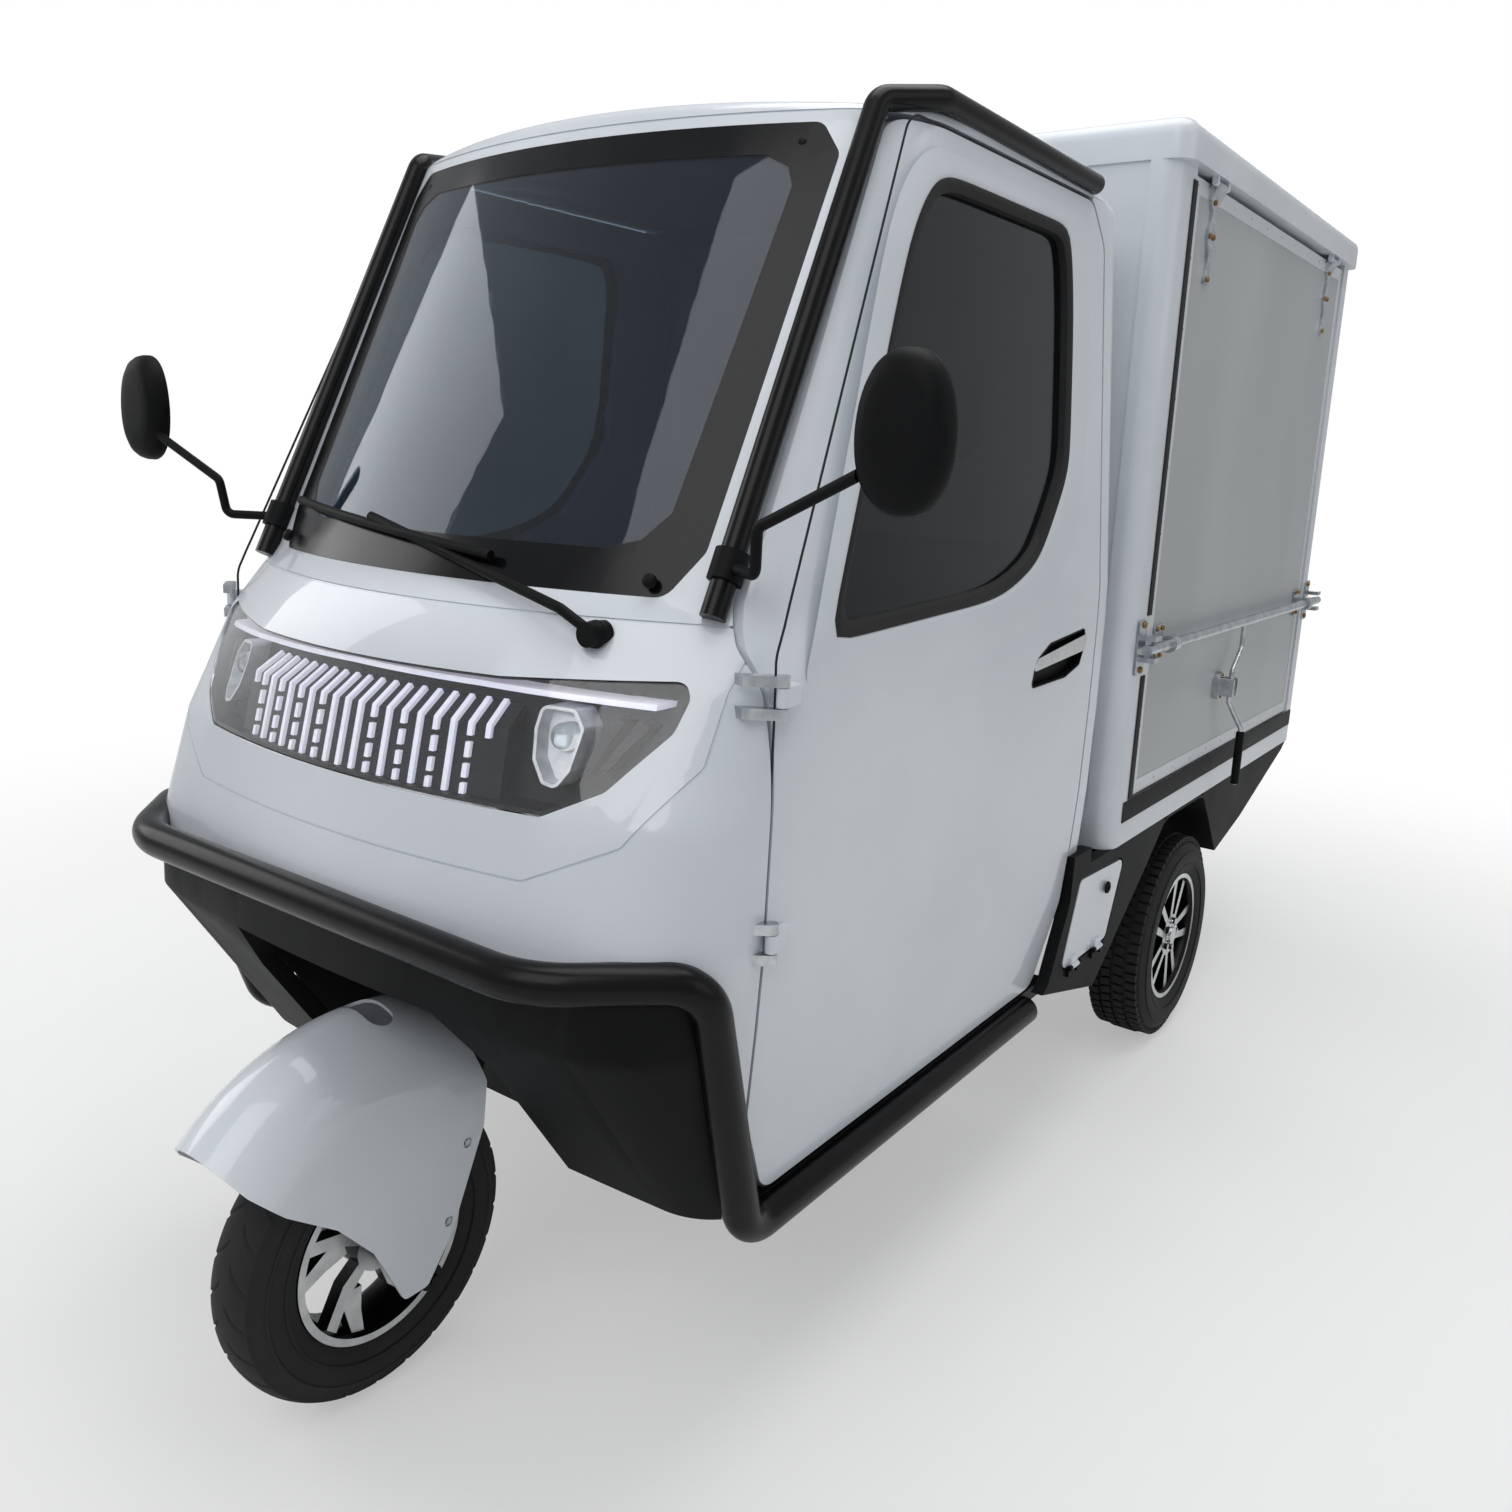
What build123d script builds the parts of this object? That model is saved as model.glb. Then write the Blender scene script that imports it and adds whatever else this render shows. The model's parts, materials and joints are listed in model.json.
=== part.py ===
from build123d import *
import os
from math import cos, radians, sin, tan

# Enclosed electric cargo tricycle, millimetres, +Z up, front towards -Y, left side at +X.
# The origin is on the ground at the middle of the length and width.

os.makedirs("parts", exist_ok=True)

# Driving sizes: overall layout
wheelbase = 1981
front_reach = 260        # front axle to the fender's lip
rear_reach = 2896        # front axle to the rear door hinges
front_axle = (front_reach - rear_reach) / 2     # Y of the front axle
rear_axle_y = front_axle + wheelbase
gap = 6                  # between a moving panel and its frame
seat_gap = 0.3           # between curved faces that touch

# Wheels
front_tyre_radius = 229
front_tyre_width = 108
front_rim_radius = 142
rear_tyre_radius = 254
rear_tyre_width = 145
rear_rim_radius = 158
rear_track = 988

# Steering
rake = 18                # degrees from the vertical
axis_offset = 20         # steering axis behind the front axle, at axle height

# Cab
floor_z = 370
bumper_z = 777
seam_z = 1179
door_top = 1838
roof_seam = 1846
cab_rear = 1290          # behind the front axle
wall = 32                # cab wall and door thickness
crown_top = 1925
crown_middle = 900       # behind the front axle
crown_length_radius = 2030
crown_width_radius = 3195

# Cargo box
box_front = 1393         # behind the front axle
box_rear = 2874
box_half = 575
box_bottom = 618
box_top = 2031
rail_top = 704
post_width = 58          # across the vehicle
post_length = 98         # along the vehicle, front posts
rear_post_length = 86
panel = 26               # flap, wall and door panels of the box

# Hinges
running = 0.08           # between a pin or shaft and what turns round it
knuckle_gap = 1          # between the ends of neighbouring knuckles
pin_radius = 4
knuckle_radius = 8


def at(distance):
    """Y of a point that lies this far behind the front axle."""
    return front_axle + distance


def side_points(points):
    """Side view points, given as distance behind the front axle and height."""
    return [(at(y), z) for y, z in points]


def plan_points(points):
    """Plan points, given as distance from the middle and distance behind the front axle."""
    return [(x, at(y)) for x, y in points]


def side_prism(points, radius=0, grow=0, start=-700, end=700):
    """A side view outline with rounded corners, pushed across from start to end."""
    with BuildPart() as prism:
        with BuildSketch(Plane.YZ.offset(start)) as outline:
            with BuildLine():
                Polyline(*side_points(points), close=True)
            make_face()
            if radius:
                fillet(outline.vertices(), radius)
            if grow:
                offset(amount=grow)
        extrude(amount=end - start)
    return prism.part


def front_prism(points, radius=0, grow=0, near=-200, far=700):
    """A front view outline, given for the left half and mirrored, pushed rearwards."""
    right = [(-x, z) for x, z in reversed(points)]
    with BuildPart() as prism:
        with BuildSketch(Plane.XZ.offset(-at(far))) as outline:
            with BuildLine():
                Polyline(*points, *right, close=True)
            make_face()
            if radius:
                fillet(outline.vertices(), radius)
            if grow:
                offset(amount=grow)
        extrude(amount=far - near)
    return prism.part


def save(piece, name):
    """Label a finished piece and write it."""
    piece.label = name
    export_step(piece, f"parts/{name}.step")


def mirrored(solid):
    """The same solid on the right side of the vehicle."""
    return solid.mirror(Plane.YZ)


def save_pair(piece, name):
    """Write a piece of the left side and its mirror image on the right."""
    save(piece, f"{name}_left")
    save(mirrored(piece), f"{name}_right")


def save_both(piece, name):
    """Write a piece of the left side and its mirror image as one item."""
    save(Compound([piece, mirrored(piece)]), name)


# Cab body
# Columns: height, front face behind the axle, half width, bow radius of the front, corner radius
cab_sections = [
    (floor_z, 150, 537, 6000, 110),
    (672, -58, 560, 3600, 150),
    (bumper_z, -68, 566, 2400, 155),
    (948, -40, 569, 1500, 155),
    (1105, 0, 569, 1000, 140),
    (seam_z, 58, 567, 950, 150),
    (1207, 98, 564, 1100, 150),
    (1960, 470, 501, 1300, 150),
]


def cab_volume(inset):
    """The closed cab form, or the same form drawn in by a wall."""
    with BuildPart() as volume:
        for height, front, half, bow, corner in cab_sections:
            width = half - inset
            radius = bow - inset
            near = at(front + inset)
            side = near + radius - (radius**2 - width**2) ** 0.5
            back = at(cab_rear - inset)
            with BuildSketch(Plane.XY.offset(height)) as section:
                with BuildLine():
                    ThreePointArc((-width, side), (0, near), (width, side))
                    Polyline((width, side), (width, back), (-width, back), (-width, side))
                make_face()
                fillet(section.vertices().group_by(Axis.Y)[-1], 45 - inset / 2)
                fillet(section.vertices().group_by(Axis.Y)[0], corner - inset)
        loft(ruled=True)
        # the roof's crown, cut by a barrel that bends both ways
        low = crown_top - inset
        drop = crown_width_radius - (crown_width_radius**2 - 650**2) ** 0.5
        pivot = crown_top - crown_length_radius
        with BuildSketch(Plane.XZ.offset(-at(crown_middle))):
            with BuildLine():
                ThreePointArc((-650, low - drop), (0, low), (650, low - drop))
                Polyline((650, low - drop), (650, 2150), (-650, 2150), (-650, low - drop))
            make_face()
        crown_axis = Axis((0, at(crown_middle), pivot), (1, 0, 0))
        revolve(axis=crown_axis, mode=Mode.SUBTRACT)
    return volume.part


# Outlines in the side view: distance behind the front axle, height
door_outline = [(188, 540), (188, 1152), (519, door_top), (1150, door_top), (1205, 1770),
                (1212, 1150), (1205, 560), (1125, 405), (245, 405)]
window_outline = [(303, 1168), (800, 1190), (930, 1240), (1048, 1385), (1060, 1700),
                  (1040, 1772), (590, 1772), (525, 1712)]
tube_top_y = 66          # where the bumper tube turns down beside the wheel opening
tube_low_y = 200
tube_low_z = 368
nose_region = [(-200, bumper_z), (tube_top_y, bumper_z), (tube_low_y, floor_z),
               (229, floor_z), (229, 700), (300, 700), (300, seam_z), (-200, seam_z)]
skirt_region = [(-200, 300), (-200, bumper_z), (tube_top_y, bumper_z),
                (tube_low_y, floor_z), (tube_low_y, 300)]
pillar_region = [(-200, seam_z), (700, seam_z), (519, door_top), (519, roof_seam),
                 (-200, roof_seam)]
rear_region = [(1150, 650), (1150, roof_seam), (1400, roof_seam), (1400, 650)]
roof_region = [(-200, roof_seam), (-200, 2100), (1400, 2100), (1400, roof_seam)]
sill_region = [(229, 300), (229, 399), (1197, 399), (1197, 300)]

# Outlines in the front view, left half: distance from the middle, height
glass_outline = [(398, 1207), (430, 1265), (434, 1785), (400, 1829)]
lamp_outline = [(352, 948), (425, 986), (480, 1058), (489, 1117), (250, 1104)]
rear_window_outline = [(272, 1388), (272, 1612)]

outer = cab_volume(0)
rim = outer.faces().sort_by(Axis.Z)[-1].edges()
outer = outer.fillet(28, rim)
inner = cab_volume(wall)
shell = outer - inner
door_hole = side_prism(door_outline, 40, grow=gap)
window_hole = side_prism(window_outline, 30)
window_seat = side_prism(window_outline, 30, grow=9)

# Bumper tube round the nose, down beside the wheel opening and along both sills
tube_radius = 26
tube_left = [(545, at(1098), tube_low_z), (545, at(tube_low_y), tube_low_z),
             (570, at(tube_top_y), bumper_z), (415, at(-80), bumper_z)]
tube_right = [(-x, y, z) for x, y, z in reversed(tube_left)]
tube_bends = [60, 60, 150, 150, 60, 60]


def tube(points, bends, radius):
    """A round tube along straight runs joined by arcs."""
    with BuildPart() as bent:
        with BuildLine() as path:
            FilletPolyline(*points, radius=bends)
        with BuildSketch(Plane(origin=path.line @ 0, z_dir=path.line % 0)):
            Circle(radius)
        sweep(path=path.line)
    return bent.part


bumper = tube(tube_left + tube_right, tube_bends, tube_radius)
bumper_groove = tube(tube_left + tube_right, tube_bends, tube_radius + seat_gap)
save(bumper, "bumper_tube")

# Black tube up each windscreen pillar and back along the roof
gutter_radius = 17
gutter_path = [(470, at(179), 1189), (466, at(503), 1858), (508, at(600), 1876),
               (513, at(1150), 1866)]
gutter = tube(gutter_path, [30, 40], gutter_radius)
gutter_groove = tube(gutter_path, [30, 40], gutter_radius + seat_gap)
save_both(gutter, "gutter_tubes")
grooves = bumper_groove + gutter_groove + mirrored(gutter_groove)

# Nose, with the lamp panel set into it
lamp_hole = front_prism(lamp_outline, 22, far=300)
lamp_seat = front_prism(lamp_outline, 22, grow=seat_gap, far=300)
nose = (shell & side_prism(nose_region)) - door_hole - grooves - lamp_seat
# a groove sweeps down round the lamp panel, and one lies on each joint of the pressings
seam_wide = 3
seam_deep = 2
sweep_outline = [(346, 869), (465, 926), (524, 1021), (522, 1300)]
skin = outer - cab_volume(seam_deep)
nose_seam = front_prism(sweep_outline, 18) - front_prism(sweep_outline, 18, grow=-seam_wide)
with BuildPart() as joint_bands:
    for height in (seam_z, roof_seam):
        with Locations((0, 0, height)):
            Box(2000, 4000, seam_wide)
joint_seams = skin & joint_bands.part
save(nose - (skin & nose_seam) - joint_seams, "nose_shell")
lens_face = cab_volume(3)
lens_back = cab_volume(8)
save((lens_face - lens_back) & lamp_hole, "lamp_lens")

# Light panel behind the lens: a dark tray and the stepped carrier of the light ribs
tray_deep = 46
tray_wall = 5
tray_floor = cab_volume(tray_deep)
tray_seat = cab_volume(tray_deep - seat_gap)
tray = (cab_volume(8 + seat_gap) - cab_volume(tray_deep + tray_wall)) & lamp_hole
tray_room = (lens_face - tray_floor) & front_prism(lamp_outline, 22, grow=-tray_wall, far=300)
bow_y = 1172             # middle of the carrier's bow, behind the front axle
carrier_side = [(-22, 950), (-1, 1039), (34, 1064), (80, 1064), (80, 950)]
rib_side = [(-27, 954), (-6, 1043), (31, 1070), (34, 1064.4), (-1.2, 1039.4),
            (-21.4, 954)]
rib_pitch = 1.35         # degrees of the bow
carrier_turn = 13.4      # degrees to each end of the carrier


def bowed(points, turn, from_turn):
    """A side view outline revolved about the carrier's bow, from one angle on."""
    with BuildPart() as part:
        with BuildSketch(Plane.YZ):
            with BuildLine():
                Polyline(*side_points(points), close=True)
            make_face()
        revolve(axis=Axis((0, at(bow_y), 0), (0, 0, 1)), revolution_arc=turn)
    return part.part.rotate(Axis((0, at(bow_y), 0), (0, 0, 1)), from_turn)


carrier = bowed(carrier_side, 2 * carrier_turn, -carrier_turn) - tray_floor

# Headlamps beside the carrier: a bowl with its projector lens, and dark fins outside it
bowl_outline = [(308, 1074), (352, 1072), (369, 1050), (366, 1000), (354, 978), (334, 982),
                (314, 1008), (306, 1045)]
fin_outlines = [[(394, 1066), (410, 1063), (396, 1030), (388, 1000), (377, 992), (383, 1032)],
                [(426, 1062), (440, 1058), (418, 1024), (404, 1000), (396, 1004), (408, 1030)]]
bowl_front = 14          # depths behind the nose's face
bowl_deep = 34
bowl_wall = 4
fin_front = 22
lens_at = (338, 1036)
lens_radius = 18


def lamp_prism(outlines, radius, grow=0):
    """Closed front view outlines of the left half and their mirror images, pushed rearwards."""
    with BuildPart() as prism:
        with BuildSketch(Plane.XZ.offset(-at(300))):
            for points in outlines:
                with BuildSketch(mode=Mode.PRIVATE) as one:
                    Polygon(*points, align=None)
                    fillet(one.vertices(), radius)
                    if grow:
                        offset(amount=grow)
                add(one)
            mirror(about=Plane.YZ)
        extrude(amount=500)
    return prism.part


bowl_back = cab_volume(bowl_deep)
bowls = (cab_volume(bowl_front) - tray_seat) & lamp_prism([bowl_outline], 10)
bowls = bowls - (lamp_prism([bowl_outline], 10, grow=-bowl_wall) - bowl_back)
save(Compound(bowls.solids()), "headlamp_bowls")
with BuildPart() as lamp_lenses:
    with BuildSketch(Plane.XZ.offset(-at(48))):
        with Locations(lens_at, (-lens_at[0], lens_at[1])):
            Circle(lens_radius)
    extrude(amount=-60)
    fillet(lamp_lenses.edges().group_by(Axis.Y)[0], 12)
lamp_lenses = lamp_lenses.part - cab_volume(bowl_deep - seat_gap)
save(Compound(lamp_lenses.solids()), "headlamp_lenses")
fins = (cab_volume(fin_front) - tray_floor) & lamp_prism(fin_outlines, 3)
save((tray - tray_room) + carrier + fins, "light_panel")
# Columns: place of the rib from the middle, kind; like ribs stand on both sides
rib_kinds = [(0, "whole"), (1, "whole"), (2, "dashed"), (3, "whole"), (4, "dashed"),
             (5, "whole"), (6, "dashed"), (7, "whole"), (8, "dashed"), (9, "short")]
rib_cuts = {"whole": [], "dashed": [(967, 974), (991, 999), (1018, 1026)],
            "short": [(900, 1026)]}
rib_turn = 0.38          # degrees that one rib is wide
rib_set = []
for place, kind in rib_kinds:
    rib = bowed(rib_side, rib_turn, place * rib_pitch - rib_turn / 2)
    for low, high in rib_cuts[kind]:
        rib = rib - Location((0, 0, (low + high) / 2)) * Box(2000, 4000, high - low)
    rib_set += [rib] if place == 0 else [rib, mirrored(rib)]
# the light strip above the ribs is a blade from the tray's back to the lens
strip_line = [(0, 1097), (220, 1094), (446, 1086), (446, 1079), (220, 1087), (0, 1090)]
with BuildPart() as strip_band:
    with BuildSketch(Plane.XZ.offset(-at(300))):
        with BuildLine():
            Polyline(*strip_line, close=True)
        make_face()
        mirror(about=Plane.YZ)
    extrude(amount=500)
strip = (cab_volume(12) - tray_seat) & strip_band.part
save(Compound([piece.solid() if len(piece.solids()) == 1 else piece
               for piece in [strip, *rib_set]]), "light_ribs")
# Black skirt below the bumper, open round the front wheel
wheel_opening = [(262, 300), (262, 580), (215, 672)]
skirt = (shell & side_prism(skirt_region)) - grooves - front_prism(wheel_opening, 0)
save(skirt, "front_skirt")

# Windscreen frame with its pillars, and the roof
screen_hole = front_prism(glass_outline, 24)
pillars = (shell & side_prism(pillar_region)) - door_hole - grooves
pillars = pillars - front_prism(glass_outline, 24, grow=seat_gap)
save(pillars - joint_seams, "windscreen_frame")
save((shell & side_prism(roof_region)) - grooves - joint_seams, "cab_roof")

# Cab rear wall with its window, and the two panes
back_hole = front_prism(rear_window_outline, 45, near=1200, far=1400)
save((shell & side_prism(rear_region)) - door_hole - grooves - back_hole, "cab_rear_wall")
screen = (cab_volume(1) - cab_volume(6)) & screen_hole
back_pane = (cab_volume(14) - cab_volume(19)) & front_prism(
    rear_window_outline, 45, grow=-seat_gap, near=1200, far=1400)
save(Compound([screen, back_pane]), "cab_glass")

# Cab doors: panel with its window cut, glass and handle
handle_outline = [(935, 1017), (947, 1064), (1002, 1090), (1152, 1103), (1165, 1080),
                  (1142, 1036), (1080, 1020)]
pull_outline = [(938, 1046), (955, 1068), (1164, 1092), (1160, 1062)]
handle_deep = 18
handle_wall = 3
handle_floor = 569 - handle_deep
handle_hole = side_prism(handle_outline, 9, start=handle_floor)
door_region = side_prism(door_outline, 40, start=0)
door_panel = (shell & door_region) - window_hole - handle_hole
glass_seat = (cab_volume(11) - cab_volume(16 + seat_gap)) & window_seat
door_panel = door_panel - glass_seat
pane_form = cab_volume(11 + seat_gap) - cab_volume(16)
door_pane = pane_form & side_prism(window_outline, 30, grow=9 - seat_gap, start=0)
# Door hinges outside the front corners: the middle knuckle turns with the door
hinge_x = 579
hinge_y = 182
hinge_heights = (794, 1106)
hinge_half = 12          # half the height of the middle knuckle
hinge_end = 14           # height of each outer knuckle
fixed_leaf = [(587, 182), (583, 174), (545, 146), (528, 152), (571, 182)]
moving_leaf = [(587, 182), (585, 192), (578, 224), (550, 224), (550, 192), (571, 184)]
with BuildPart() as door_leaves:
    for height in hinge_heights:
        with BuildSketch(Plane.XY.offset(height - hinge_half)):
            with BuildLine():
                Polyline(*plan_points(moving_leaf), close=True)
            make_face()
            with Locations((hinge_x, at(hinge_y))):
                Circle(knuckle_radius)
                Circle(pin_radius + running, mode=Mode.SUBTRACT)
        extrude(amount=2 * hinge_half)
with BuildPart() as post_leaves:
    for height in hinge_heights:
        for foot in (height - hinge_half - knuckle_gap - hinge_end,
                     height + hinge_half + knuckle_gap):
            with BuildSketch(Plane.XY.offset(foot)):
                with BuildLine():
                    Polyline(*plan_points(fixed_leaf), close=True)
                make_face()
                with Locations((hinge_x, at(hinge_y))):
                    Circle(knuckle_radius)
            extrude(amount=hinge_end)
        with BuildSketch(Plane.XY.offset(height - hinge_half - knuckle_gap - hinge_end)):
            with Locations((hinge_x, at(hinge_y))):
                Circle(pin_radius)
        extrude(amount=2 * (hinge_half + knuckle_gap + hinge_end))
save_both(post_leaves.part - outer, "door_hinges")
# the handle is a cup in the door with a pull across it
cup = side_prism(handle_outline, 9, grow=-seat_gap, start=handle_floor + seat_gap,
                 end=handle_floor + handle_deep + 1)
cup = cup - side_prism(handle_outline, 9, grow=-handle_wall, start=handle_floor + handle_wall)
pull = side_prism(pull_outline, 4, start=handle_floor + handle_deep - 5,
                  end=handle_floor + handle_deep + 2)
handle = cup + (pull & side_prism(handle_outline, 9, grow=-seat_gap))
save_pair(door_panel + door_leaves.part, "door")
save_pair(door_pane, "door_glass")
save_pair(handle, "door_handle")

# Cab floor: floor plate, seat riser, shelf, sills and the well over the front wheel
plate = 12
riser_y = 1197
shelf_z = 650
well_half = 252
well_back = 290
well_top = 690
well_wall = 6
rail_x = 300             # chassis rails, middle
rail_wide = 40
upright_y = 320          # uprights of the steering head's bridge
upright_size = 36
with BuildPart() as floor:
    with BuildSketch(Plane.YZ.offset(-500)):
        with BuildLine():
            Polyline(*side_points([
                (riser_y - plate, floor_z), (riser_y, floor_z), (riser_y, shelf_z - plate),
                (cab_rear, shelf_z - plate), (cab_rear, shelf_z), (riser_y - plate, shelf_z)]),
                close=True)
        make_face()
    extrude(amount=1000)
    with BuildSketch(Plane.XY.offset(floor_z)):
        with Locations((0, at((well_back + riser_y) / 2))):
            Rectangle(1020, riser_y - well_back)
        with Locations((-rail_x, at(upright_y)), (rail_x, at(upright_y))):
            Rectangle(rail_wide + 2 * seat_gap, upright_size + 2 * seat_gap, mode=Mode.SUBTRACT)
    extrude(amount=plate)
with BuildPart() as well:
    with BuildSketch(Plane.XY.offset(floor_z)) as plan:
        with BuildLine():
            Polyline((-500, at(160)), (500, at(160)), (500, at(well_back)), (-500, at(well_back)),
                     close=True)
        make_face()
    extrude(amount=plate)
    with BuildSketch(Plane.XY.offset(floor_z)) as box_plan:
        with Locations((0, at(well_back / 2 - 40 + well_wall))):
            Rectangle(2 * (well_half + well_wall), well_back + 80)
        fillet(box_plan.vertices().group_by(Axis.Y)[-1], 86)
    extrude(amount=well_top - floor_z)
    with BuildSketch(Plane.XY.offset(floor_z)) as room_plan:
        with Locations((0, at(well_back / 2 - 40))):
            Rectangle(2 * well_half, well_back + 80)
        fillet(room_plan.vertices().group_by(Axis.Y)[-1], 80)
    extrude(amount=well_top - floor_z - well_wall, mode=Mode.SUBTRACT)


def steer_axis_y(height):
    """Distance of the steering axis behind the front axle, at a height."""
    return axis_offset + (height - front_tyre_radius) * tan(radians(rake))


head_low = 668
head_high = 815
head_radius = 32
stem_radius = 22
steer_dir = Vector(0, sin(radians(rake)), cos(radians(rake)))


def on_axis(height):
    """Plane square to the steering axis, at a height on it."""
    return Plane(origin=(0, at(steer_axis_y(height)), height), x_dir=(1, 0, 0), z_dir=steer_dir)


with BuildPart() as head_room:
    with BuildSketch(on_axis(head_low)):
        Circle(head_radius + seat_gap)
    extrude(amount=(head_high - head_low) / steer_dir.Z)
floor_form = floor.part + ((well.part & cab_volume(wall + seat_gap)) - head_room.part)
floor_form = floor_form + (shell & side_prism(sill_region)) - grooves
save(floor_form, "cab_floor")

# Chassis: two rails kicked up over the rear axle, cross members and the head tube
rail_high = 60
bed_z = box_bottom       # the box stands on the rails
kick = 1310
bridge_low = 700
rail_outline = [(262, floor_z), (kick - 30, floor_z), (kick + 95, bed_z), (2866, bed_z),
                (2866, bed_z - rail_high), (kick + 125, bed_z - rail_high),
                (kick, floor_z - rail_high), (262, floor_z - rail_high)]
# Columns: distance behind the front axle, underside height
cross_members = [(330, 310), (760, 310), (1210, 310), (1560, 558), (2290, 558), (2820, 558)]
with BuildPart() as frame:
    for x in (-rail_x, rail_x):
        with BuildSketch(Plane.YZ.offset(x - rail_wide / 2)):
            with BuildLine():
                Polyline(*side_points(rail_outline), close=True)
            make_face()
        extrude(amount=rail_wide)
        with BuildSketch(Plane.XY.offset(floor_z - rail_high)):
            with Locations((x, at(upright_y))):
                Rectangle(rail_wide, upright_size)
        extrude(amount=bridge_low + 60 - floor_z + rail_high)
    for y, low in cross_members:
        with BuildSketch(Plane.YZ.offset(-rail_x)):
            with Locations((at(y), low + 25)):
                Rectangle(40, 50)
        extrude(amount=2 * rail_x)
    with BuildSketch(Plane.YZ.offset(-rail_x)):
        with Locations((at(upright_y), bridge_low + 30)):
            Rectangle(upright_size, 60)
    extrude(amount=2 * rail_x)
    with BuildSketch(Plane.YZ.offset(-20)):
        with BuildLine():
            Polyline(*side_points([(200, bridge_low + 2), (well_back + 20, bridge_low + 2),
                                   (well_back + 20, bridge_low + 58), (212, bridge_low + 76)]),
                     close=True)
        make_face()
    extrude(amount=40)
    with BuildSketch(on_axis(head_low)):
        Circle(head_radius)
    extrude(amount=(head_high - head_low) / steer_dir.Z)
    with BuildSketch(on_axis(head_low)):
        Circle(stem_radius + running)
    extrude(amount=(head_high - head_low) / steer_dir.Z, mode=Mode.SUBTRACT)
save(frame.part, "chassis_frame")

# Front fork: two legs behind the wheel, links forward to the axle, crown and stem
leg_x = 73
leg_radius = 13
leg_low = (51, 170)      # link pivot: distance behind the axle, height
crown_z = 622
axle_radius = 9
leg_back = 50            # legs behind the steering axis
fender_half = 95
fender_wall = 5
bolt_heights = (253, 365)
bolt_hole = 8            # radius of the fender's holes in front of the bosses


def leg_y(height):
    """Distance of the fork legs behind the front axle, at a height."""
    return steer_axis_y(height) + leg_back


leg_plane = Plane(origin=(leg_x, at(leg_y(leg_low[1])), leg_low[1]), x_dir=(1, 0, 0),
                  z_dir=steer_dir)
leg_length = (crown_z + 18 - leg_low[1]) / steer_dir.Z
with BuildPart() as fork:
    with BuildSketch(leg_plane):
        Circle(leg_radius)
    extrude(amount=leg_length)
    with BuildSketch(Plane.YZ.offset(leg_x - leg_radius)):
        with Locations((at(0), front_tyre_radius), (at(leg_y(leg_low[1])), leg_low[1])):
            Circle(20)
        make_hull()
    extrude(amount=2 * leg_radius)
    with BuildSketch(Plane.YZ):
        with Locations((at(0), front_tyre_radius)):
            Circle(axle_radius)
    extrude(amount=leg_x + leg_radius)
    with BuildSketch(Plane.YZ.offset(leg_x + leg_radius)):
        with Locations((at(0), front_tyre_radius)):
            RegularPolygon(14, 6)
    extrude(amount=fender_half - fender_wall - 1 - leg_x - leg_radius)
    with BuildSketch(Plane.YZ.offset(leg_x + leg_radius)):
        with Locations((at(leg_y(leg_low[1])), leg_low[1])):
            RegularPolygon(8, 6)
    extrude(amount=fender_half - leg_x - leg_radius + 2)
    # bosses that carry the fender
    for height in bolt_heights:
        with BuildSketch(Plane.YZ.offset(leg_x)):
            with Locations((at(leg_y(height)), height)):
                Circle(11)
        extrude(amount=fender_half - fender_wall - seat_gap - leg_x)
    # crown plate, halved on the middle plane
    with BuildSketch(on_axis(crown_z)):
        with BuildLine():
            Polyline((0, -34), (46, -20), (leg_x + 17, 30), (leg_x + 17, 70), (0, 70), close=True)
        make_face()
    extrude(amount=22)
    mirror(about=Plane.YZ)
    with BuildSketch(on_axis(crown_z)):
        Circle(stem_radius)
    extrude(amount=(head_high + 42 - crown_z) / steer_dir.Z)
save(fork.part, "front_fork")

# Front fender: a dome round the wheel, cut to its side outline
dome_radius = 364
fender_outline = [(-262, 486), (-232, 440), (-188, 396), (-112, 338), (-52, 268), (-22, 205),
                  (-4, 168), (38, 168), (84, 232), (146, 380), (152, 450), (96, 596), (60, 640),
                  (-262, 640)]
with BuildPart() as dome:
    for outside, mode in ((0, Mode.ADD), (fender_wall, Mode.SUBTRACT)):
        with BuildSketch(Plane.XY.offset(front_tyre_radius)) as dome_half:
            with BuildLine():
                Polyline((0, at(0)), (fender_half - outside, at(0)),
                         (fender_half - outside, at(-262)))
                ThreePointArc((fender_half - outside, at(-262)),
                              (62 - outside * 0.6, at(-338 + outside * 0.8)),
                              (0, at(-dome_radius + outside)))
                Line((0, at(-dome_radius + outside)), (0, at(0)))
            make_face()
            mirror(about=Plane.YZ)
        revolve(axis=Axis((0, at(0), front_tyre_radius), (1, 0, 0)), mode=mode)
fender = dome.part & side_prism(fender_outline, 12)
with BuildPart() as fender_holes:
    for height in bolt_heights:
        with BuildSketch(Plane.YZ.offset(-2 * fender_half)):
            with Locations((at(leg_y(height)), height)):
                Circle(bolt_hole)
        extrude(amount=4 * fender_half)
    with BuildSketch(Plane.XY.offset(front_tyre_radius + 200)):
        with Locations((0, at(10))):
            SlotOverall(96, 40)
    extrude(amount=300)
save(fender - fender_holes.part, "front_fender")

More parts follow.
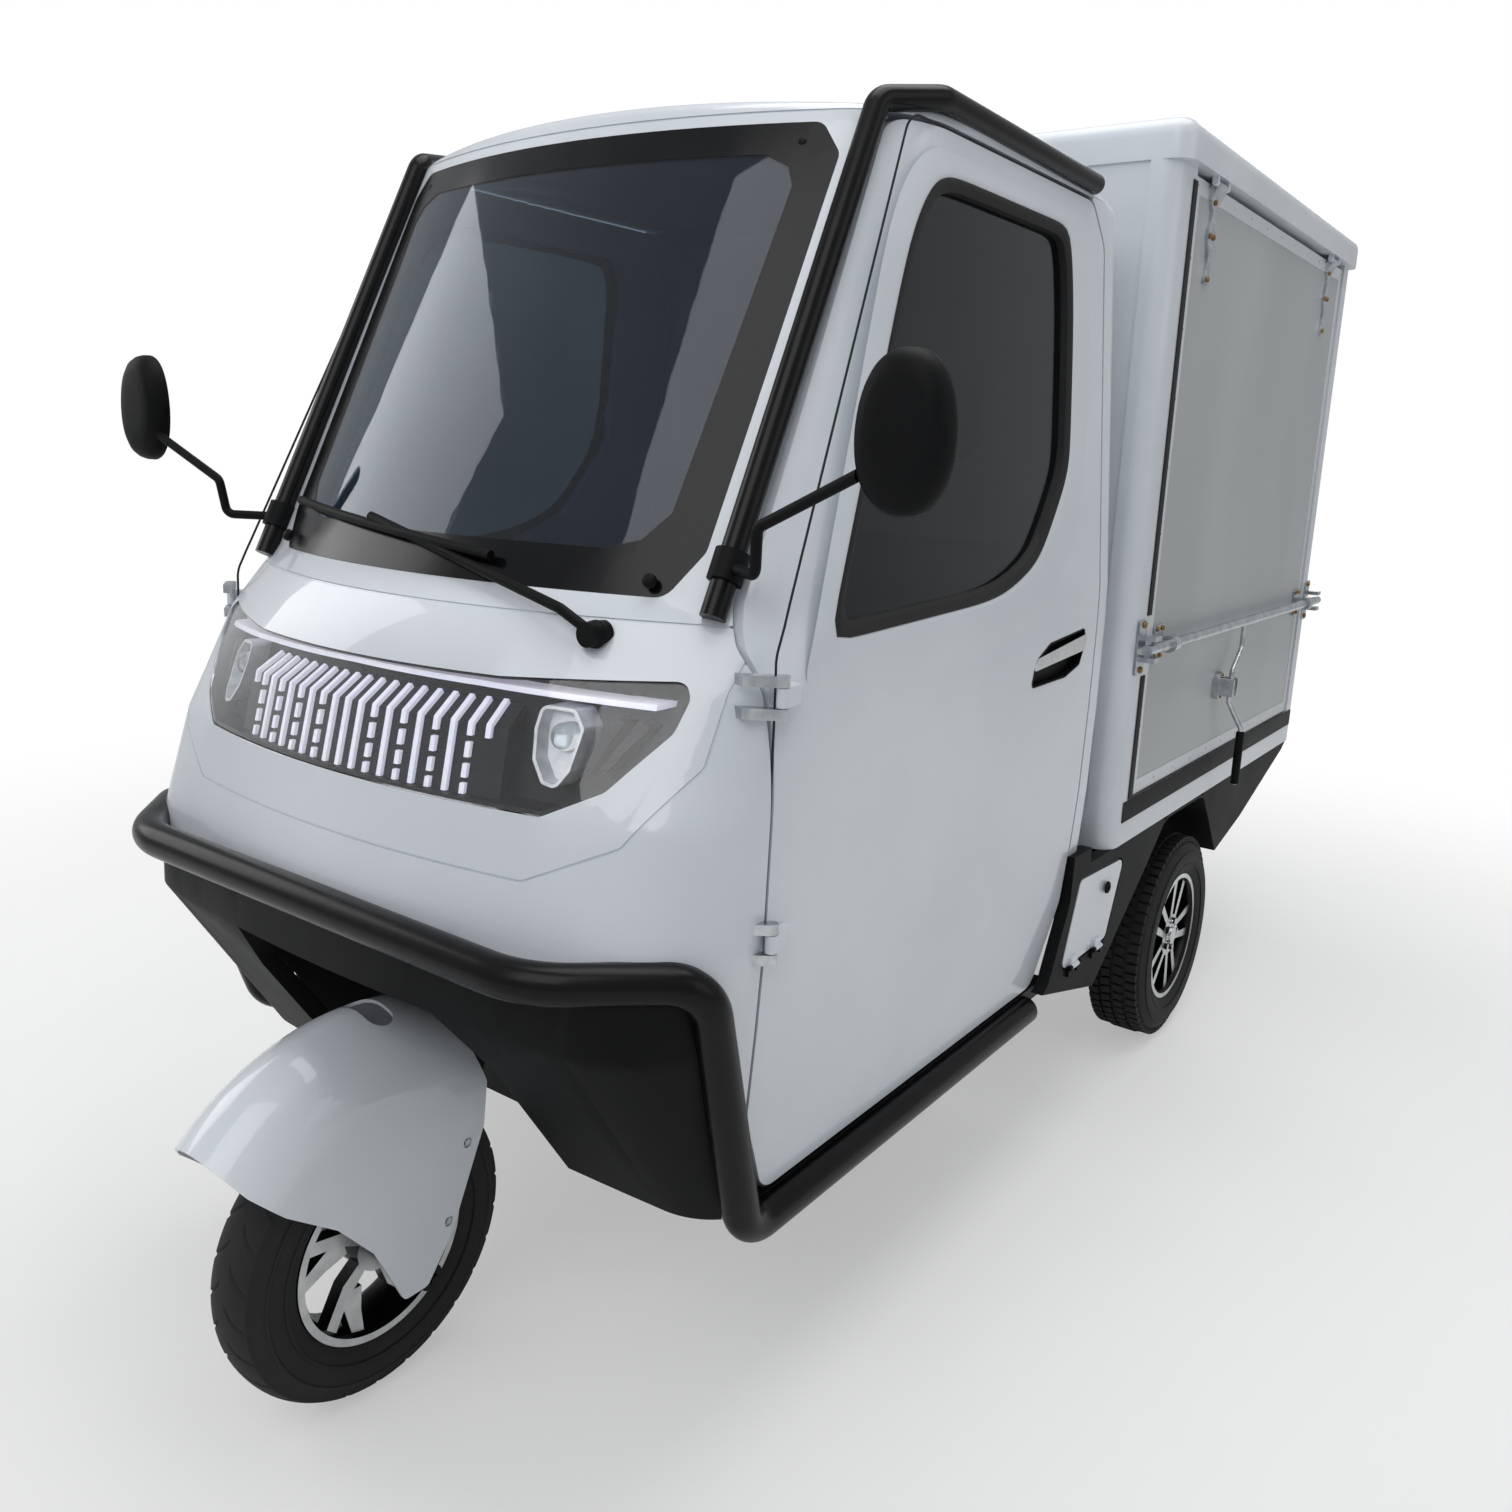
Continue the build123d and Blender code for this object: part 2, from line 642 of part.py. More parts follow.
# Handlebar on the stem inside the cab
bar_z = 1005
with BuildPart() as handlebar:
    with BuildSketch(on_axis(head_high + 14)):
        Circle(stem_radius + 9)
    extrude(amount=(bar_z - head_high - 14) / steer_dir.Z)
    with BuildSketch(on_axis(head_high)):
        Circle(stem_radius + running)
    extrude(amount=(42 + running) / steer_dir.Z, mode=Mode.SUBTRACT)
    with BuildLine() as bar_path:
        FilletPolyline((-330, at(400), bar_z + 24), (-210, at(372), bar_z + 22),
                       (-90, at(280), bar_z), (90, at(280), bar_z), (210, at(372), bar_z + 22),
                       (330, at(400), bar_z + 24), radius=[60, 60, 60, 60])
    with BuildSketch(Plane(origin=bar_path.line @ 0, z_dir=bar_path.line % 0)):
        Circle(12)
    sweep(path=bar_path.line)
save(handlebar.part, "handlebar")


# Wheels: tyre and rim revolved about X, the rim's spokes in a ring
bead = 14                # the tyre's bead lies this far inside its widest point
hub_inset = 6            # hub ends inside the rim's edges


def tyre(radius, width, seat, crown, shoulder):
    """A tyre about the X axis, seated on a rim of radius seat."""
    half = width / 2
    edge = [(half - bead, seat), (half, (seat + shoulder) / 2), (crown, shoulder),
            (crown * 0.6, radius - (radius - shoulder) * 0.3), (crown * 0.25, radius)]
    with BuildPart() as ring:
        with BuildSketch(Plane.XY):
            with BuildLine():
                Polyline(*edge, *[(-x, y) for x, y in reversed(edge)], close=True)
            make_face()
        revolve(axis=Axis.X)
    return ring.part


def polar(table):
    """Points from a table of radius and angle."""
    return [(r * cos(radians(a)), r * sin(radians(a))) for r, a in table]


def rim(seat, width, hub, bore, spokes, spoke_profile, spoke_from, spoke_to):
    """A cast rim about the X axis: barrel with lips, hub and a ring of spokes."""
    half = width / 2 - bead
    face = seat - seat_gap
    with BuildPart() as wheel:
        with BuildSketch(Plane.XY):
            with BuildLine():
                Polyline((-half - 3, face), (-half - 3, face - 11), (-half + 8, face - 16),
                         (half - 8, face - 16), (half + 3, face - 11), (half + 3, face),
                         close=True)
            make_face()
        revolve(axis=Axis.X)
        with BuildSketch(Plane.YZ.offset(-half + hub_inset)):
            Circle(hub)
        extrude(amount=2 * (half - hub_inset))
        with BuildSketch(Plane.YZ.offset(spoke_from)):
            with PolarLocations(0, spokes):
                for blade in spoke_profile:
                    Polygon(*polar(blade), align=None)
        extrude(amount=spoke_to - spoke_from)
        with BuildSketch(Plane.YZ.offset(-half)):
            Circle(bore)
        extrude(amount=2 * half, mode=Mode.SUBTRACT)
    return wheel.part


front_place = Location((0, at(0), front_tyre_radius))
front_tyre = tyre(front_tyre_radius, front_tyre_width, front_rim_radius, 42, 214)
save(front_tyre.moved(front_place), "front_tyre")
# Columns of a spoke blade: radius, angle. The front rim's blades sweep and fork.
front_blades = [[(30, -24), (72, -8), (132, 8), (132, 17), (96, 13), (66, 10), (30, 10)],
                [(66, 10), (96, 13), (132, 32), (132, 41), (92, 32), (58, 20)]]
front_hub = 38
front_rim = rim(front_rim_radius, front_tyre_width, front_hub, axle_radius + running, 5,
                front_blades, 12, 34)
save(front_rim.moved(front_place), "front_rim")

# Rear wheels, their rims with five pairs of spokes, and the axle between them
rear_blades = [[(40, -34), (148, -17), (148, -9), (40, -12)],
               [(40, 34), (40, 12), (148, 9), (148, 17)]]
rear_hub = 52
stub_radius = 15
rear_tyre = tyre(rear_tyre_radius, rear_tyre_width, rear_rim_radius, 56, 238)
rear_rim = rim(rear_rim_radius, rear_tyre_width, rear_hub, stub_radius + running, 5,
               rear_blades, 26, 52)
hub_face = rear_tyre_width / 2 - bead - hub_inset
with BuildPart() as hub_cap:
    with BuildSketch(Plane.YZ.offset(hub_face)):
        Circle(22)
    extrude(amount=9)
    with BuildSketch(Plane.YZ.offset(hub_face)):
        with PolarLocations(36, 5):
            RegularPolygon(8, 6)
    extrude(amount=8)
rear_rim = rear_rim + hub_cap.part
rear_place = Location((rear_track / 2, rear_axle_y, rear_tyre_radius))
save_pair(rear_tyre.moved(rear_place), "rear_tyre")
save_pair(rear_rim.moved(rear_place), "rear_rim")

axle_tube = 34
diff_radius = 96
drum_radius = 100
spring_x = rail_x
spring_seat = 12
drum_x = rear_track / 2 - rear_tyre_width / 2 - 6     # outer face of the brake drum
with BuildPart() as axle:
    with BuildSketch(Plane.YZ.offset(-drum_x + 40)):
        with Locations((rear_axle_y, rear_tyre_radius)):
            Circle(axle_tube)
    extrude(amount=2 * drum_x - 80)
    for inside in (-drum_x, drum_x - 46):
        with BuildSketch(Plane.YZ.offset(inside)):
            with Locations((rear_axle_y, rear_tyre_radius)):
                Circle(drum_radius)
        extrude(amount=46)
    with BuildSketch(Plane.YZ.offset(-rear_track / 2 - 50)):
        with Locations((rear_axle_y, rear_tyre_radius)):
            Circle(stub_radius)
    extrude(amount=rear_track + 100)
    with BuildSketch(Plane.XY.offset(rear_tyre_radius)):
        with BuildLine():
            ThreePointArc((-20, rear_axle_y + 20), (60, rear_axle_y + diff_radius),
                          (140, rear_axle_y + 20))
            Polyline((140, rear_axle_y + 20), (150, rear_axle_y), (-30, rear_axle_y),
                     (-20, rear_axle_y + 20))
        make_face()
    revolve(axis=Axis((0, rear_axle_y, rear_tyre_radius), (1, 0, 0)))
    for x in (-spring_x, spring_x):
        with BuildSketch(Plane.XY.offset(rear_tyre_radius)):
            with Locations((x, rear_axle_y)):
                Rectangle(64, 90)
        extrude(amount=axle_tube + spring_seat)
save(axle.part, "rear_axle")

# Drive motor, a closed mass flanged to the differential housing
with BuildPart() as motor:
    with BuildSketch(Plane.YZ.offset(-30 - seat_gap)):
        with Locations((rear_axle_y - 120, rear_tyre_radius + 20)):
            Circle(82)
    extrude(amount=-190)
    with BuildSketch(Plane.YZ.offset(-30 - seat_gap)):
        with Locations((rear_axle_y - 60, rear_tyre_radius + 10)):
            Rectangle(60, 80)
    extrude(amount=-24)
save(motor.part - axle.part, "drive_motor")

# Leaf springs on the axle's seats, hung from the rails
# Columns: length of the leaf
leaf_lengths = [760, 560, 400, 260]
leaf_thick = 8
leaf_wide = 50
leaf_low = rear_tyre_radius + axle_tube + spring_seat
hanger_low = leaf_low + len(leaf_lengths) * leaf_thick
with BuildPart() as spring:
    for turn, length in enumerate(reversed(leaf_lengths)):
        base = leaf_low + turn * leaf_thick
        rise = 60 * (length / leaf_lengths[0]) ** 2
        half = length / 2
        with BuildSketch(Plane.YZ.offset(spring_x - leaf_wide / 2)):
            with BuildLine():
                ThreePointArc((rear_axle_y - half, base + rise), (rear_axle_y, base),
                              (rear_axle_y + half, base + rise))
                Line((rear_axle_y + half, base + rise),
                     (rear_axle_y + half, base + rise + leaf_thick))
                ThreePointArc((rear_axle_y + half, base + rise + leaf_thick),
                              (rear_axle_y, base + leaf_thick),
                              (rear_axle_y - half, base + rise + leaf_thick))
                Line((rear_axle_y - half, base + rise + leaf_thick),
                     (rear_axle_y - half, base + rise))
            make_face()
        extrude(amount=leaf_wide)
    eye_z = hanger_low + 60
    for way in (-1, 1):
        with BuildSketch(Plane.YZ.offset(spring_x - leaf_wide / 2)):
            with Locations((rear_axle_y + way * leaf_lengths[0] / 2, eye_z)):
                Circle(18)
            with BuildLine():
                Polyline((rear_axle_y + way * 362, eye_z), (rear_axle_y + way * 398, eye_z),
                         (rear_axle_y + way * 404, bed_z - rail_high),
                         (rear_axle_y + way * 350, bed_z - rail_high), close=True)
            make_face()
        extrude(amount=leaf_wide)
save_both(spring.part, "leaf_springs")

# Battery, a closed mass between the rails
with BuildPart() as battery:
    with BuildSketch(Plane.XY.offset(bed_z - rail_high - 200)):
        with Locations((0, at(1450))):
            RectangleRounded(2 * (rail_x - rail_wide / 2) - 2 * seat_gap, 180, 10)
    extrude(amount=200)
save(battery.part, "battery_box")

# Cargo box: floor, frame of rails, posts and cornice, front wall, roof
cornice_low = 1954
cornice_out = 18         # how far the cornice stands out over the flaps
floor_thick = 28
corner_radius = 42
with BuildPart() as bed:
    with BuildSketch(Plane.XY.offset(bed_z)):
        with Locations((0, at((box_front + box_rear) / 2))):
            Rectangle(2 * (box_half - 42), box_rear - box_front - 84)
    extrude(amount=floor_thick)
save(bed.part, "cargo_floor")

box_length = box_rear - box_front
box_middle = at((box_front + box_rear) / 2)


def ring(low, high, half, length, thick, corner):
    """A rectangular ring round the box."""
    with BuildPart() as band:
        with BuildSketch(Plane.XY.offset(low)):
            with Locations((0, box_middle)):
                RectangleRounded(2 * half, length, corner)
                Rectangle(2 * (half - thick), length - 2 * thick, mode=Mode.SUBTRACT)
        extrude(amount=high - low)
    return band.part


# Columns: middle across, middle along, size across, size along
posts = [(sx * (box_half - post_width / 2), y, post_width, size)
         for sx in (-1, 1)
         for y, size in ((at(box_front + post_length / 2), post_length),
                         (at(box_rear - rear_post_length / 2), rear_post_length))]
with BuildPart() as post_set:
    with BuildSketch(Plane.XY.offset(rail_top)):
        for x, y, across, along in posts:
            with Locations((x, y)):
                Rectangle(across, along)
    extrude(amount=cornice_low - rail_top)
with BuildPart() as box_plan_prism:
    with BuildSketch(Plane.XY.offset(bed_z)):
        with Locations((0, box_middle)):
            RectangleRounded(2 * box_half, box_length, corner_radius)
    extrude(amount=box_top - bed_z)
lower_rail = ring(bed_z, rail_top, box_half, box_length, 42, corner_radius)
with BuildPart() as cornice:
    with BuildSketch(Plane.XY.offset(cornice_low)):
        with Locations((0, box_middle)):
            RectangleRounded(2 * (box_half + cornice_out), box_length, corner_radius)
    extrude(amount=box_top - cornice_low)
    fillet(cornice.faces().sort_by(Axis.Z)[-1].edges(), 34)
    with BuildSketch(Plane.XY.offset(cornice_low)):
        with Locations((0, box_middle)):
            Rectangle(2 * (box_half - post_width), box_length - 2 * post_width)
    extrude(amount=box_top - cornice_low, mode=Mode.SUBTRACT)
box_frame = lower_rail + (post_set.part & box_plan_prism.part) + cornice.part
# keeper plates on the posts, whose lugs hold the ends of the lock bars
bar_height = 1038
bar_radius = 11
bar_out = 27             # bar axis outside the box side
keeper_y = (box_front + 52, box_rear - 44)
keeper_thick = 4
with BuildPart() as keepers:
    for y in keeper_y:
        with BuildSketch(Plane.YZ.offset(box_half)):
            with Locations((at(y), bar_height)):
                RectangleRounded(44, 112, 5)
        extrude(amount=keeper_thick)
        for side in (-1, 1):
            with BuildSketch(Plane.YZ.offset(box_half)):
                with Locations((at(y), bar_height + side * (bar_radius + gap + 5))):
                    Rectangle(34, 10)
            extrude(amount=bar_out + bar_radius)
save(Compound(keepers.solids() + mirrored(keepers.part).solids()), "lock_keepers")
# pins and ears that carry the side flaps and the rear doors
flap_low = rail_top + 12
flap_high = cornice_low - 12
flap_hinge_x = box_half + 9
flap_hinge_z = cornice_low - 12
flap_knuckle = 60
flap_pin = 3
hinge_radius = 6
strap_y = (1612, 2618)
ear = 9
leaf_pin_x = box_half - 55
leaf_pin_y = box_rear + 14
leaf_hinge_z = (flap_low + 150, (flap_low + flap_high) / 2, flap_high - 150)
leaf_knuckle = 80
with BuildPart() as carriers:
    for y in strap_y:
        flap_end = flap_knuckle / 2 + knuckle_gap
        for near in (y - flap_end - ear, y + flap_end):
            with BuildSketch(Plane.XZ.offset(-at(near + ear))):
                with Locations((flap_hinge_x, flap_hinge_z)):
                    Circle(hinge_radius)
                with Locations((flap_hinge_x, (flap_hinge_z + cornice_low + 2) / 2)):
                    Rectangle(2 * hinge_radius, cornice_low + 2 - flap_hinge_z)
            extrude(amount=ear)
        with BuildSketch(Plane.XZ.offset(-at(y + flap_end + ear))):
            with Locations((flap_hinge_x, flap_hinge_z)):
                Circle(flap_pin)
        extrude(amount=2 * (flap_end + ear))
    for z in leaf_hinge_z:
        leaf_end = leaf_knuckle / 2 + knuckle_gap
        for low in (z - leaf_end - ear, z + leaf_end):
            with BuildSketch(Plane.XY.offset(low)):
                with Locations((leaf_pin_x, at(leaf_pin_y))):
                    Circle(knuckle_radius)
                with Locations((leaf_pin_x + 3, at(box_rear - 2 + leaf_pin_y) / 2
                                + front_axle / 2)):
                    Rectangle(12, leaf_pin_y - box_rear + 2)
            extrude(amount=ear)
        with BuildSketch(Plane.XY.offset(z - leaf_end - ear)):
            with Locations((leaf_pin_x, at(leaf_pin_y))):
                Circle(pin_radius)
        extrude(amount=2 * (leaf_end + ear))
save(box_frame + carriers.part + mirrored(carriers.part), "cargo_frame")

with BuildPart() as front_wall:
    with BuildSketch(Plane.XY.offset(rail_top)):
        with Locations((0, at(box_front + 6 + panel / 2))):
            Rectangle(2 * (box_half - post_width), panel)
    extrude(amount=cornice_low - rail_top)
save(front_wall.part, "cargo_front_wall")
with BuildPart() as box_roof:
    with BuildSketch(Plane.XY.offset(box_top - panel)):
        with Locations((0, box_middle)):
            Rectangle(2 * (box_half - post_width), box_length - 2 * post_width)
    extrude(amount=panel)
save(box_roof.part, "cargo_roof")

# Side flaps of flat panels in a raised edge profile, hinged under the cornice
flap_front = box_front + post_length + gap
flap_rear = box_rear - rear_post_length - gap
flap_out = box_half - 4
edge_wide = 30           # edge profile of the flaps and rear doors
edge_high = 1.5
with BuildPart() as flap:
    with BuildSketch(Plane.YZ.offset(flap_out - panel)):
        with Locations((at((flap_front + flap_rear) / 2), (flap_low + flap_high) / 2)):
            RectangleRounded(flap_rear - flap_front, flap_high - flap_low, 8)
    extrude(amount=panel)
    with BuildSketch(Plane.YZ.offset(flap_out - edge_high)):
        with Locations((at((flap_front + flap_rear) / 2), (flap_low + flap_high) / 2)):
            Rectangle(flap_rear - flap_front - 2 * edge_wide,
                      flap_high - flap_low - 2 * edge_wide)
    extrude(amount=edge_high, mode=Mode.SUBTRACT)
save_pair(flap.part, "cargo_flap")

# Fittings of a flap: strap hinges with lobes, bearings of the lock bar, the lock's plate
strap_thick = 5
# Columns of a strap: height below its knuckle, half width
strap_form = [(14, 22), (34, 20), (48, 10), (66, 11), (84, 21), (104, 21), (124, 10), (150, 9),
              (166, 14), (184, 14)]
strap_edge = [(half, flap_hinge_z - low) for low, half in strap_form]
lock_y = 2040
lock_z = 885
handle_x = box_half + 34
with BuildPart() as fittings:
    for y in strap_y:
        with BuildSketch(Plane.YZ.offset(flap_out - edge_high)):
            with Locations((at(y), 0)):
                Polygon(*strap_edge, *[(-half, z) for half, z in reversed(strap_edge)],
                        align=None)
        extrude(amount=strap_thick + edge_high)
        with BuildSketch(Plane.XZ.offset(-at(y + flap_knuckle / 2))):
            with Locations((flap_hinge_x, flap_hinge_z)):
                Circle(hinge_radius)
            with BuildLine():
                Polyline((flap_out, flap_hinge_z - 30), (flap_out + strap_thick, flap_hinge_z - 30),
                         (flap_hinge_x + hinge_radius, flap_hinge_z),
                         (flap_hinge_x - hinge_radius, flap_hinge_z), (flap_out, flap_high - 8),
                         close=True)
            make_face()
            with Locations((flap_hinge_x, flap_hinge_z)):
                Circle(flap_pin + running, mode=Mode.SUBTRACT)
        extrude(amount=flap_knuckle)
    # bearings that hold the lock bar off the panel
    for y in (flap_front + 60, flap_rear - 60):
        with BuildSketch(Plane.YZ.offset(flap_out - edge_high)):
            with Locations((at(y), bar_height)):
                RectangleRounded(50, 74, 6)
        extrude(amount=strap_thick + edge_high)
        with BuildSketch(Plane.XZ.offset(-at(y + 16))):
            with Locations((box_half + bar_out, bar_height)):
                Circle(bar_radius + 7)
            with Locations(((flap_out + box_half + bar_out) / 2, bar_height)):
                Rectangle(box_half + bar_out - flap_out, 26)
        extrude(amount=32)
        with BuildSketch(Plane.XZ.offset(-at(y + 16))):
            with Locations((box_half + bar_out, bar_height)):
                Circle(bar_radius + seat_gap)
        extrude(amount=32, mode=Mode.SUBTRACT)
    # round lock plate with two lugs beside the handle
    with BuildSketch(Plane.YZ.offset(flap_out - edge_high)):
        with Locations((at(lock_y), lock_z)):
            Circle(34)
    extrude(amount=14)
    with BuildSketch(Plane.YZ.offset(flap_out)):
        with Locations((at(lock_y - 16), lock_z), (at(lock_y + 16), lock_z)):
            RectangleRounded(8, 44, 3)
    extrude(amount=handle_x - flap_out + 8)
save_pair(Compound((fittings.part - flap.part).solids()), "flap_fittings")

# Lock bars with a handle that hangs through the lock's lugs
handle_rod = 6           # radius
handle_from = (box_half + bar_out, at(2110), bar_height)
with BuildPart() as lock_bar:
    with BuildSketch(Plane.XZ.offset(-at(box_rear - 10))):
        with Locations((box_half + bar_out, bar_height)):
            Circle(bar_radius)
    extrude(amount=box_rear - 10 - box_front - 18)
    with BuildLine() as handle_path:
        FilletPolyline(handle_from, (box_half + bar_out, at(2110), 972),
                       (handle_x - 4, at(lock_y), 925), (handle_x - 4, at(lock_y), 848),
                       (box_half + 58, at(2072), 780), (box_half + 58, at(2074), 642),
                       radius=16)
    with BuildSketch(Plane(origin=handle_path.line @ 0, z_dir=handle_path.line % 0)):
        Circle(handle_rod)
    sweep(path=handle_path.line)
save_pair(lock_bar.part, "lock_bar")

# Rear doors, two leaves hinged at the rear posts
leaf_out = box_half - post_width - 7
leaf_plate = [(leaf_pin_x - 90, box_rear - 2), (leaf_pin_x - 90, box_rear + 4),
              (leaf_pin_x - 4, leaf_pin_y + 6), (leaf_pin_x - 4, leaf_pin_y - 6),
              (leaf_out - 8, box_rear - 2)]
leaf_width = leaf_out - gap / 2
leaf_middle = (leaf_out + gap / 2) / 2
door_face = box_rear - 2
with BuildPart() as leaf:
    with BuildSketch(Plane.XZ.offset(-at(door_face))):
        with Locations((leaf_middle, (flap_low + flap_high) / 2)):
            RectangleRounded(leaf_width, flap_high - flap_low, 6)
    extrude(amount=panel)
    with BuildSketch(Plane.XZ.offset(-at(door_face))):
        with Locations((leaf_middle, (flap_low + flap_high) / 2)):
            Rectangle(leaf_width - 2 * edge_wide, flap_high - flap_low - 2 * edge_wide)
    extrude(amount=edge_high, mode=Mode.SUBTRACT)
    for z in leaf_hinge_z:
        with BuildSketch(Plane.XY.offset(z - leaf_knuckle / 2)):
            with BuildLine():
                Polyline(*plan_points(leaf_plate), close=True)
            make_face()
            with Locations((leaf_pin_x, at(leaf_pin_y))):
                Circle(knuckle_radius)
                Circle(pin_radius + running, mode=Mode.SUBTRACT)
        extrude(amount=leaf_knuckle)
save_pair(leaf.part, "rear_door")

# Lock rod of each rear door, in three brackets, with a flat handle
rod_x = 74               # from the middle
rod_radius = 8
rod_out = 10             # rod axis behind the door's face
rod_bracket_z = (flap_low + 60, 1180, flap_high - 60)
rod_handle_z = 1010
with BuildPart() as lock_rod:
    with BuildSketch(Plane.XY.offset(flap_low + 8)):
        with Locations((rod_x, at(door_face + rod_out))):
            Circle(rod_radius)
    extrude(amount=flap_high - flap_low - 16)
    for z in rod_bracket_z:
        with BuildSketch(Plane.XY.offset(z - 18)):
            with Locations((rod_x, at(door_face + rod_out))):
                Circle(rod_radius + 6)
            with Locations((rod_x, at(door_face + rod_out / 2 - edge_high / 2))):
                Rectangle(36, rod_out + edge_high)
        extrude(amount=36)
    with BuildSketch(Plane.XZ.offset(-at(door_face + rod_out + 5))):
        with Locations((rod_x, rod_handle_z), (rod_x + 150, rod_handle_z - 12)):
            Circle(13)
        make_hull()
    extrude(amount=10)
save_pair(lock_rod.part - leaf.part, "rear_lock_rod")

# Lower skirts with the rear wheel arches, and their hatch lids
skirt_out = box_half - 3
skirt_thick = 24
front_skirt_low = [(1110, 400), (1382, 328), (1653, 523), (1749, 600), (1749, bed_z),
                   (1300, bed_z), (1300, shelf_z), (1110, shelf_z)]
rear_skirt_low = [(2034, bed_z), (2046, 600), (2104, 540), (2204, 426), (2414, 474),
                  (2800, 596), (2840, bed_z)]
arch_liner = [(1653, 523), (1749, 600), (1780, 608), (2010, 608), (2046, 600), (2104, 540),
              (2204, 426), (2212, 430), (2109, 546), (2050, 606), (2012, 614), (1778, 614),
              (1746, 606), (1649, 528)]
hatch_outline = [(1258, 592), (1496, 580), (1428, 422), (1196, 422)]
side_skirt = side_prism(front_skirt_low, start=skirt_out - skirt_thick, end=skirt_out)
side_skirt = side_skirt - door_hole - side_prism(hatch_outline, 16, grow=5)
side_skirt = side_skirt + side_prism(rear_skirt_low, start=skirt_out - skirt_thick, end=skirt_out)
side_skirt = side_skirt + side_prism(arch_liner, start=405, end=skirt_out)
# hatch hinges along the lower edge, outside the skirt
hatch_pin_x = skirt_out + 6
hatch_pin_z = 419
hatch_knuckle = 5        # radius
hatch_pin = 2.5
hatch_hinge_y = (1250, 1374)
hatch_half = 16          # half the length of the lid's knuckle
hatch_end = 10           # length of each fixed knuckle
with BuildPart() as lid_knuckles:
    for y in hatch_hinge_y:
        with BuildSketch(Plane.XZ.offset(-at(y + hatch_half))):
            with Locations((hatch_pin_x, hatch_pin_z)):
                Circle(hatch_knuckle)
            with Locations(((skirt_out + hatch_pin_x) / 2, hatch_pin_z + 9)):
                Rectangle(hatch_pin_x - skirt_out, 18)
            with Locations((hatch_pin_x, hatch_pin_z)):
                Circle(hatch_pin + running, mode=Mode.SUBTRACT)
        extrude(amount=2 * hatch_half)
with BuildPart() as skirt_knuckles:
    for y in hatch_hinge_y:
        ends = hatch_half + knuckle_gap + hatch_end
        for far in (y - hatch_half - knuckle_gap, y + ends):
            with BuildSketch(Plane.XZ.offset(-at(far))):
                with Locations((hatch_pin_x, hatch_pin_z)):
                    Circle(hatch_knuckle)
                with Locations(((skirt_out + hatch_pin_x) / 2, hatch_pin_z - 9)):
                    Rectangle(hatch_pin_x - skirt_out, 18)
            extrude(amount=hatch_end)
        with BuildSketch(Plane.XZ.offset(-at(y + ends))):
            with Locations((hatch_pin_x, hatch_pin_z)):
                Circle(hatch_pin)
        extrude(amount=2 * ends)
save_both(side_skirt + skirt_knuckles.part, "cargo_skirts")
hatch = side_prism(hatch_outline, 16, start=skirt_out - 18, end=skirt_out)
save_pair(hatch + lid_knuckles.part, "hatch_lid")

# Tail lamps on the lower rail
with BuildPart() as tail:
    with BuildSketch(Plane.XZ.offset(-at(box_rear + 20))):
        with Locations((-440, 660), (440, 660)):
            RectangleRounded(150, 62, 12)
    extrude(amount=20)
save(Compound(tail.part.solids()), "tail_lamps")

# Mirrors on bent arms from the windscreen pillars
mirror_arm = tube([(480, at(204), 1250), (546, at(160), 1250), (552, at(152), 1306),
                   (738, at(128), 1392)], [14, 14], 7)
pillar_run = Vector(-4, 324, 669)
with BuildPart() as mirror_clamp:
    with BuildSketch(Plane(origin=(469.7, at(200), 1232), z_dir=pillar_run)):
        Circle(gutter_radius + 6)
    extrude(amount=40)
with BuildPart() as mirror_head:
    with BuildSketch(Plane.XZ.offset(-at(150))) as head_outline:
        with BuildLine():
            Polyline((687, 1470), (700, 1506), (790, 1506), (803, 1470), (797, 1368), (774, 1330),
                     (716, 1330), (693, 1368), close=True)
        make_face()
        fillet(head_outline.vertices(), 22)
    extrude(amount=34)
    fillet(mirror_head.faces().sort_by(Axis.Y)[0].edges(), 20)
mirror_set = mirror_head.part + (mirror_arm + mirror_clamp.part - gutter_groove - outer)
save_both(mirror_set, "mirrors")

# Wiper: arm from the cowl and a blade that follows the glass
with BuildPart() as wiper:
    with BuildLine() as arm_path:
        FilletPolyline((350, at(94), 1164), (300, at(88), 1190), (-110, at(118), 1276), radius=20)
    with BuildSketch(Plane(origin=arm_path.line @ 0, z_dir=arm_path.line % 0)):
        Circle(7)
    sweep(path=arm_path.line)
    with BuildSketch(Plane.XZ.offset(-at(116))):
        with Locations((350, 1163)):
            Circle(16)
    extrude(amount=34)
    with BuildLine() as blade_path:
        ThreePointArc((-370, at(182), 1283), (-110, at(119), 1265), (150, at(110), 1242))
    with BuildSketch(Plane(origin=blade_path.line @ 0, z_dir=blade_path.line % 0)):
        Circle(7)
    sweep(path=blade_path.line)
save(wiper.part - outer, "wiper")

# Seat base, pads and dashboard
pad_half = 390
with BuildPart() as base:
    with BuildSketch(Plane.XY.offset(floor_z + plate)):
        with Locations((0, at((760 + riser_y - plate) / 2))):
            Rectangle(2 * pad_half, riser_y - plate - 760)
    extrude(amount=278)
    fillet(base.edges().filter_by(Axis.Z).group_by(Axis.Y)[0], 40)
save(base.part, "seat_base")
pad_low = floor_z + plate + 278
with BuildPart() as pad:
    with BuildSketch(Plane.XY.offset(pad_low + seat_gap)):
        with Locations((0, at(935))):
            RectangleRounded(2 * pad_half, 400, 50)
    extrude(amount=85)
    fillet(pad.faces().sort_by(Axis.Z)[-1].edges(), 28)
backrest = side_prism([(1142, 742), (cab_rear - wall - seat_gap, 742),
                       (cab_rear - wall - seat_gap, 1250), (1196, 1250)], 24,
                      start=-pad_half + 20, end=pad_half - 20)
save(Compound([pad.part, backrest]), "seat_pads")
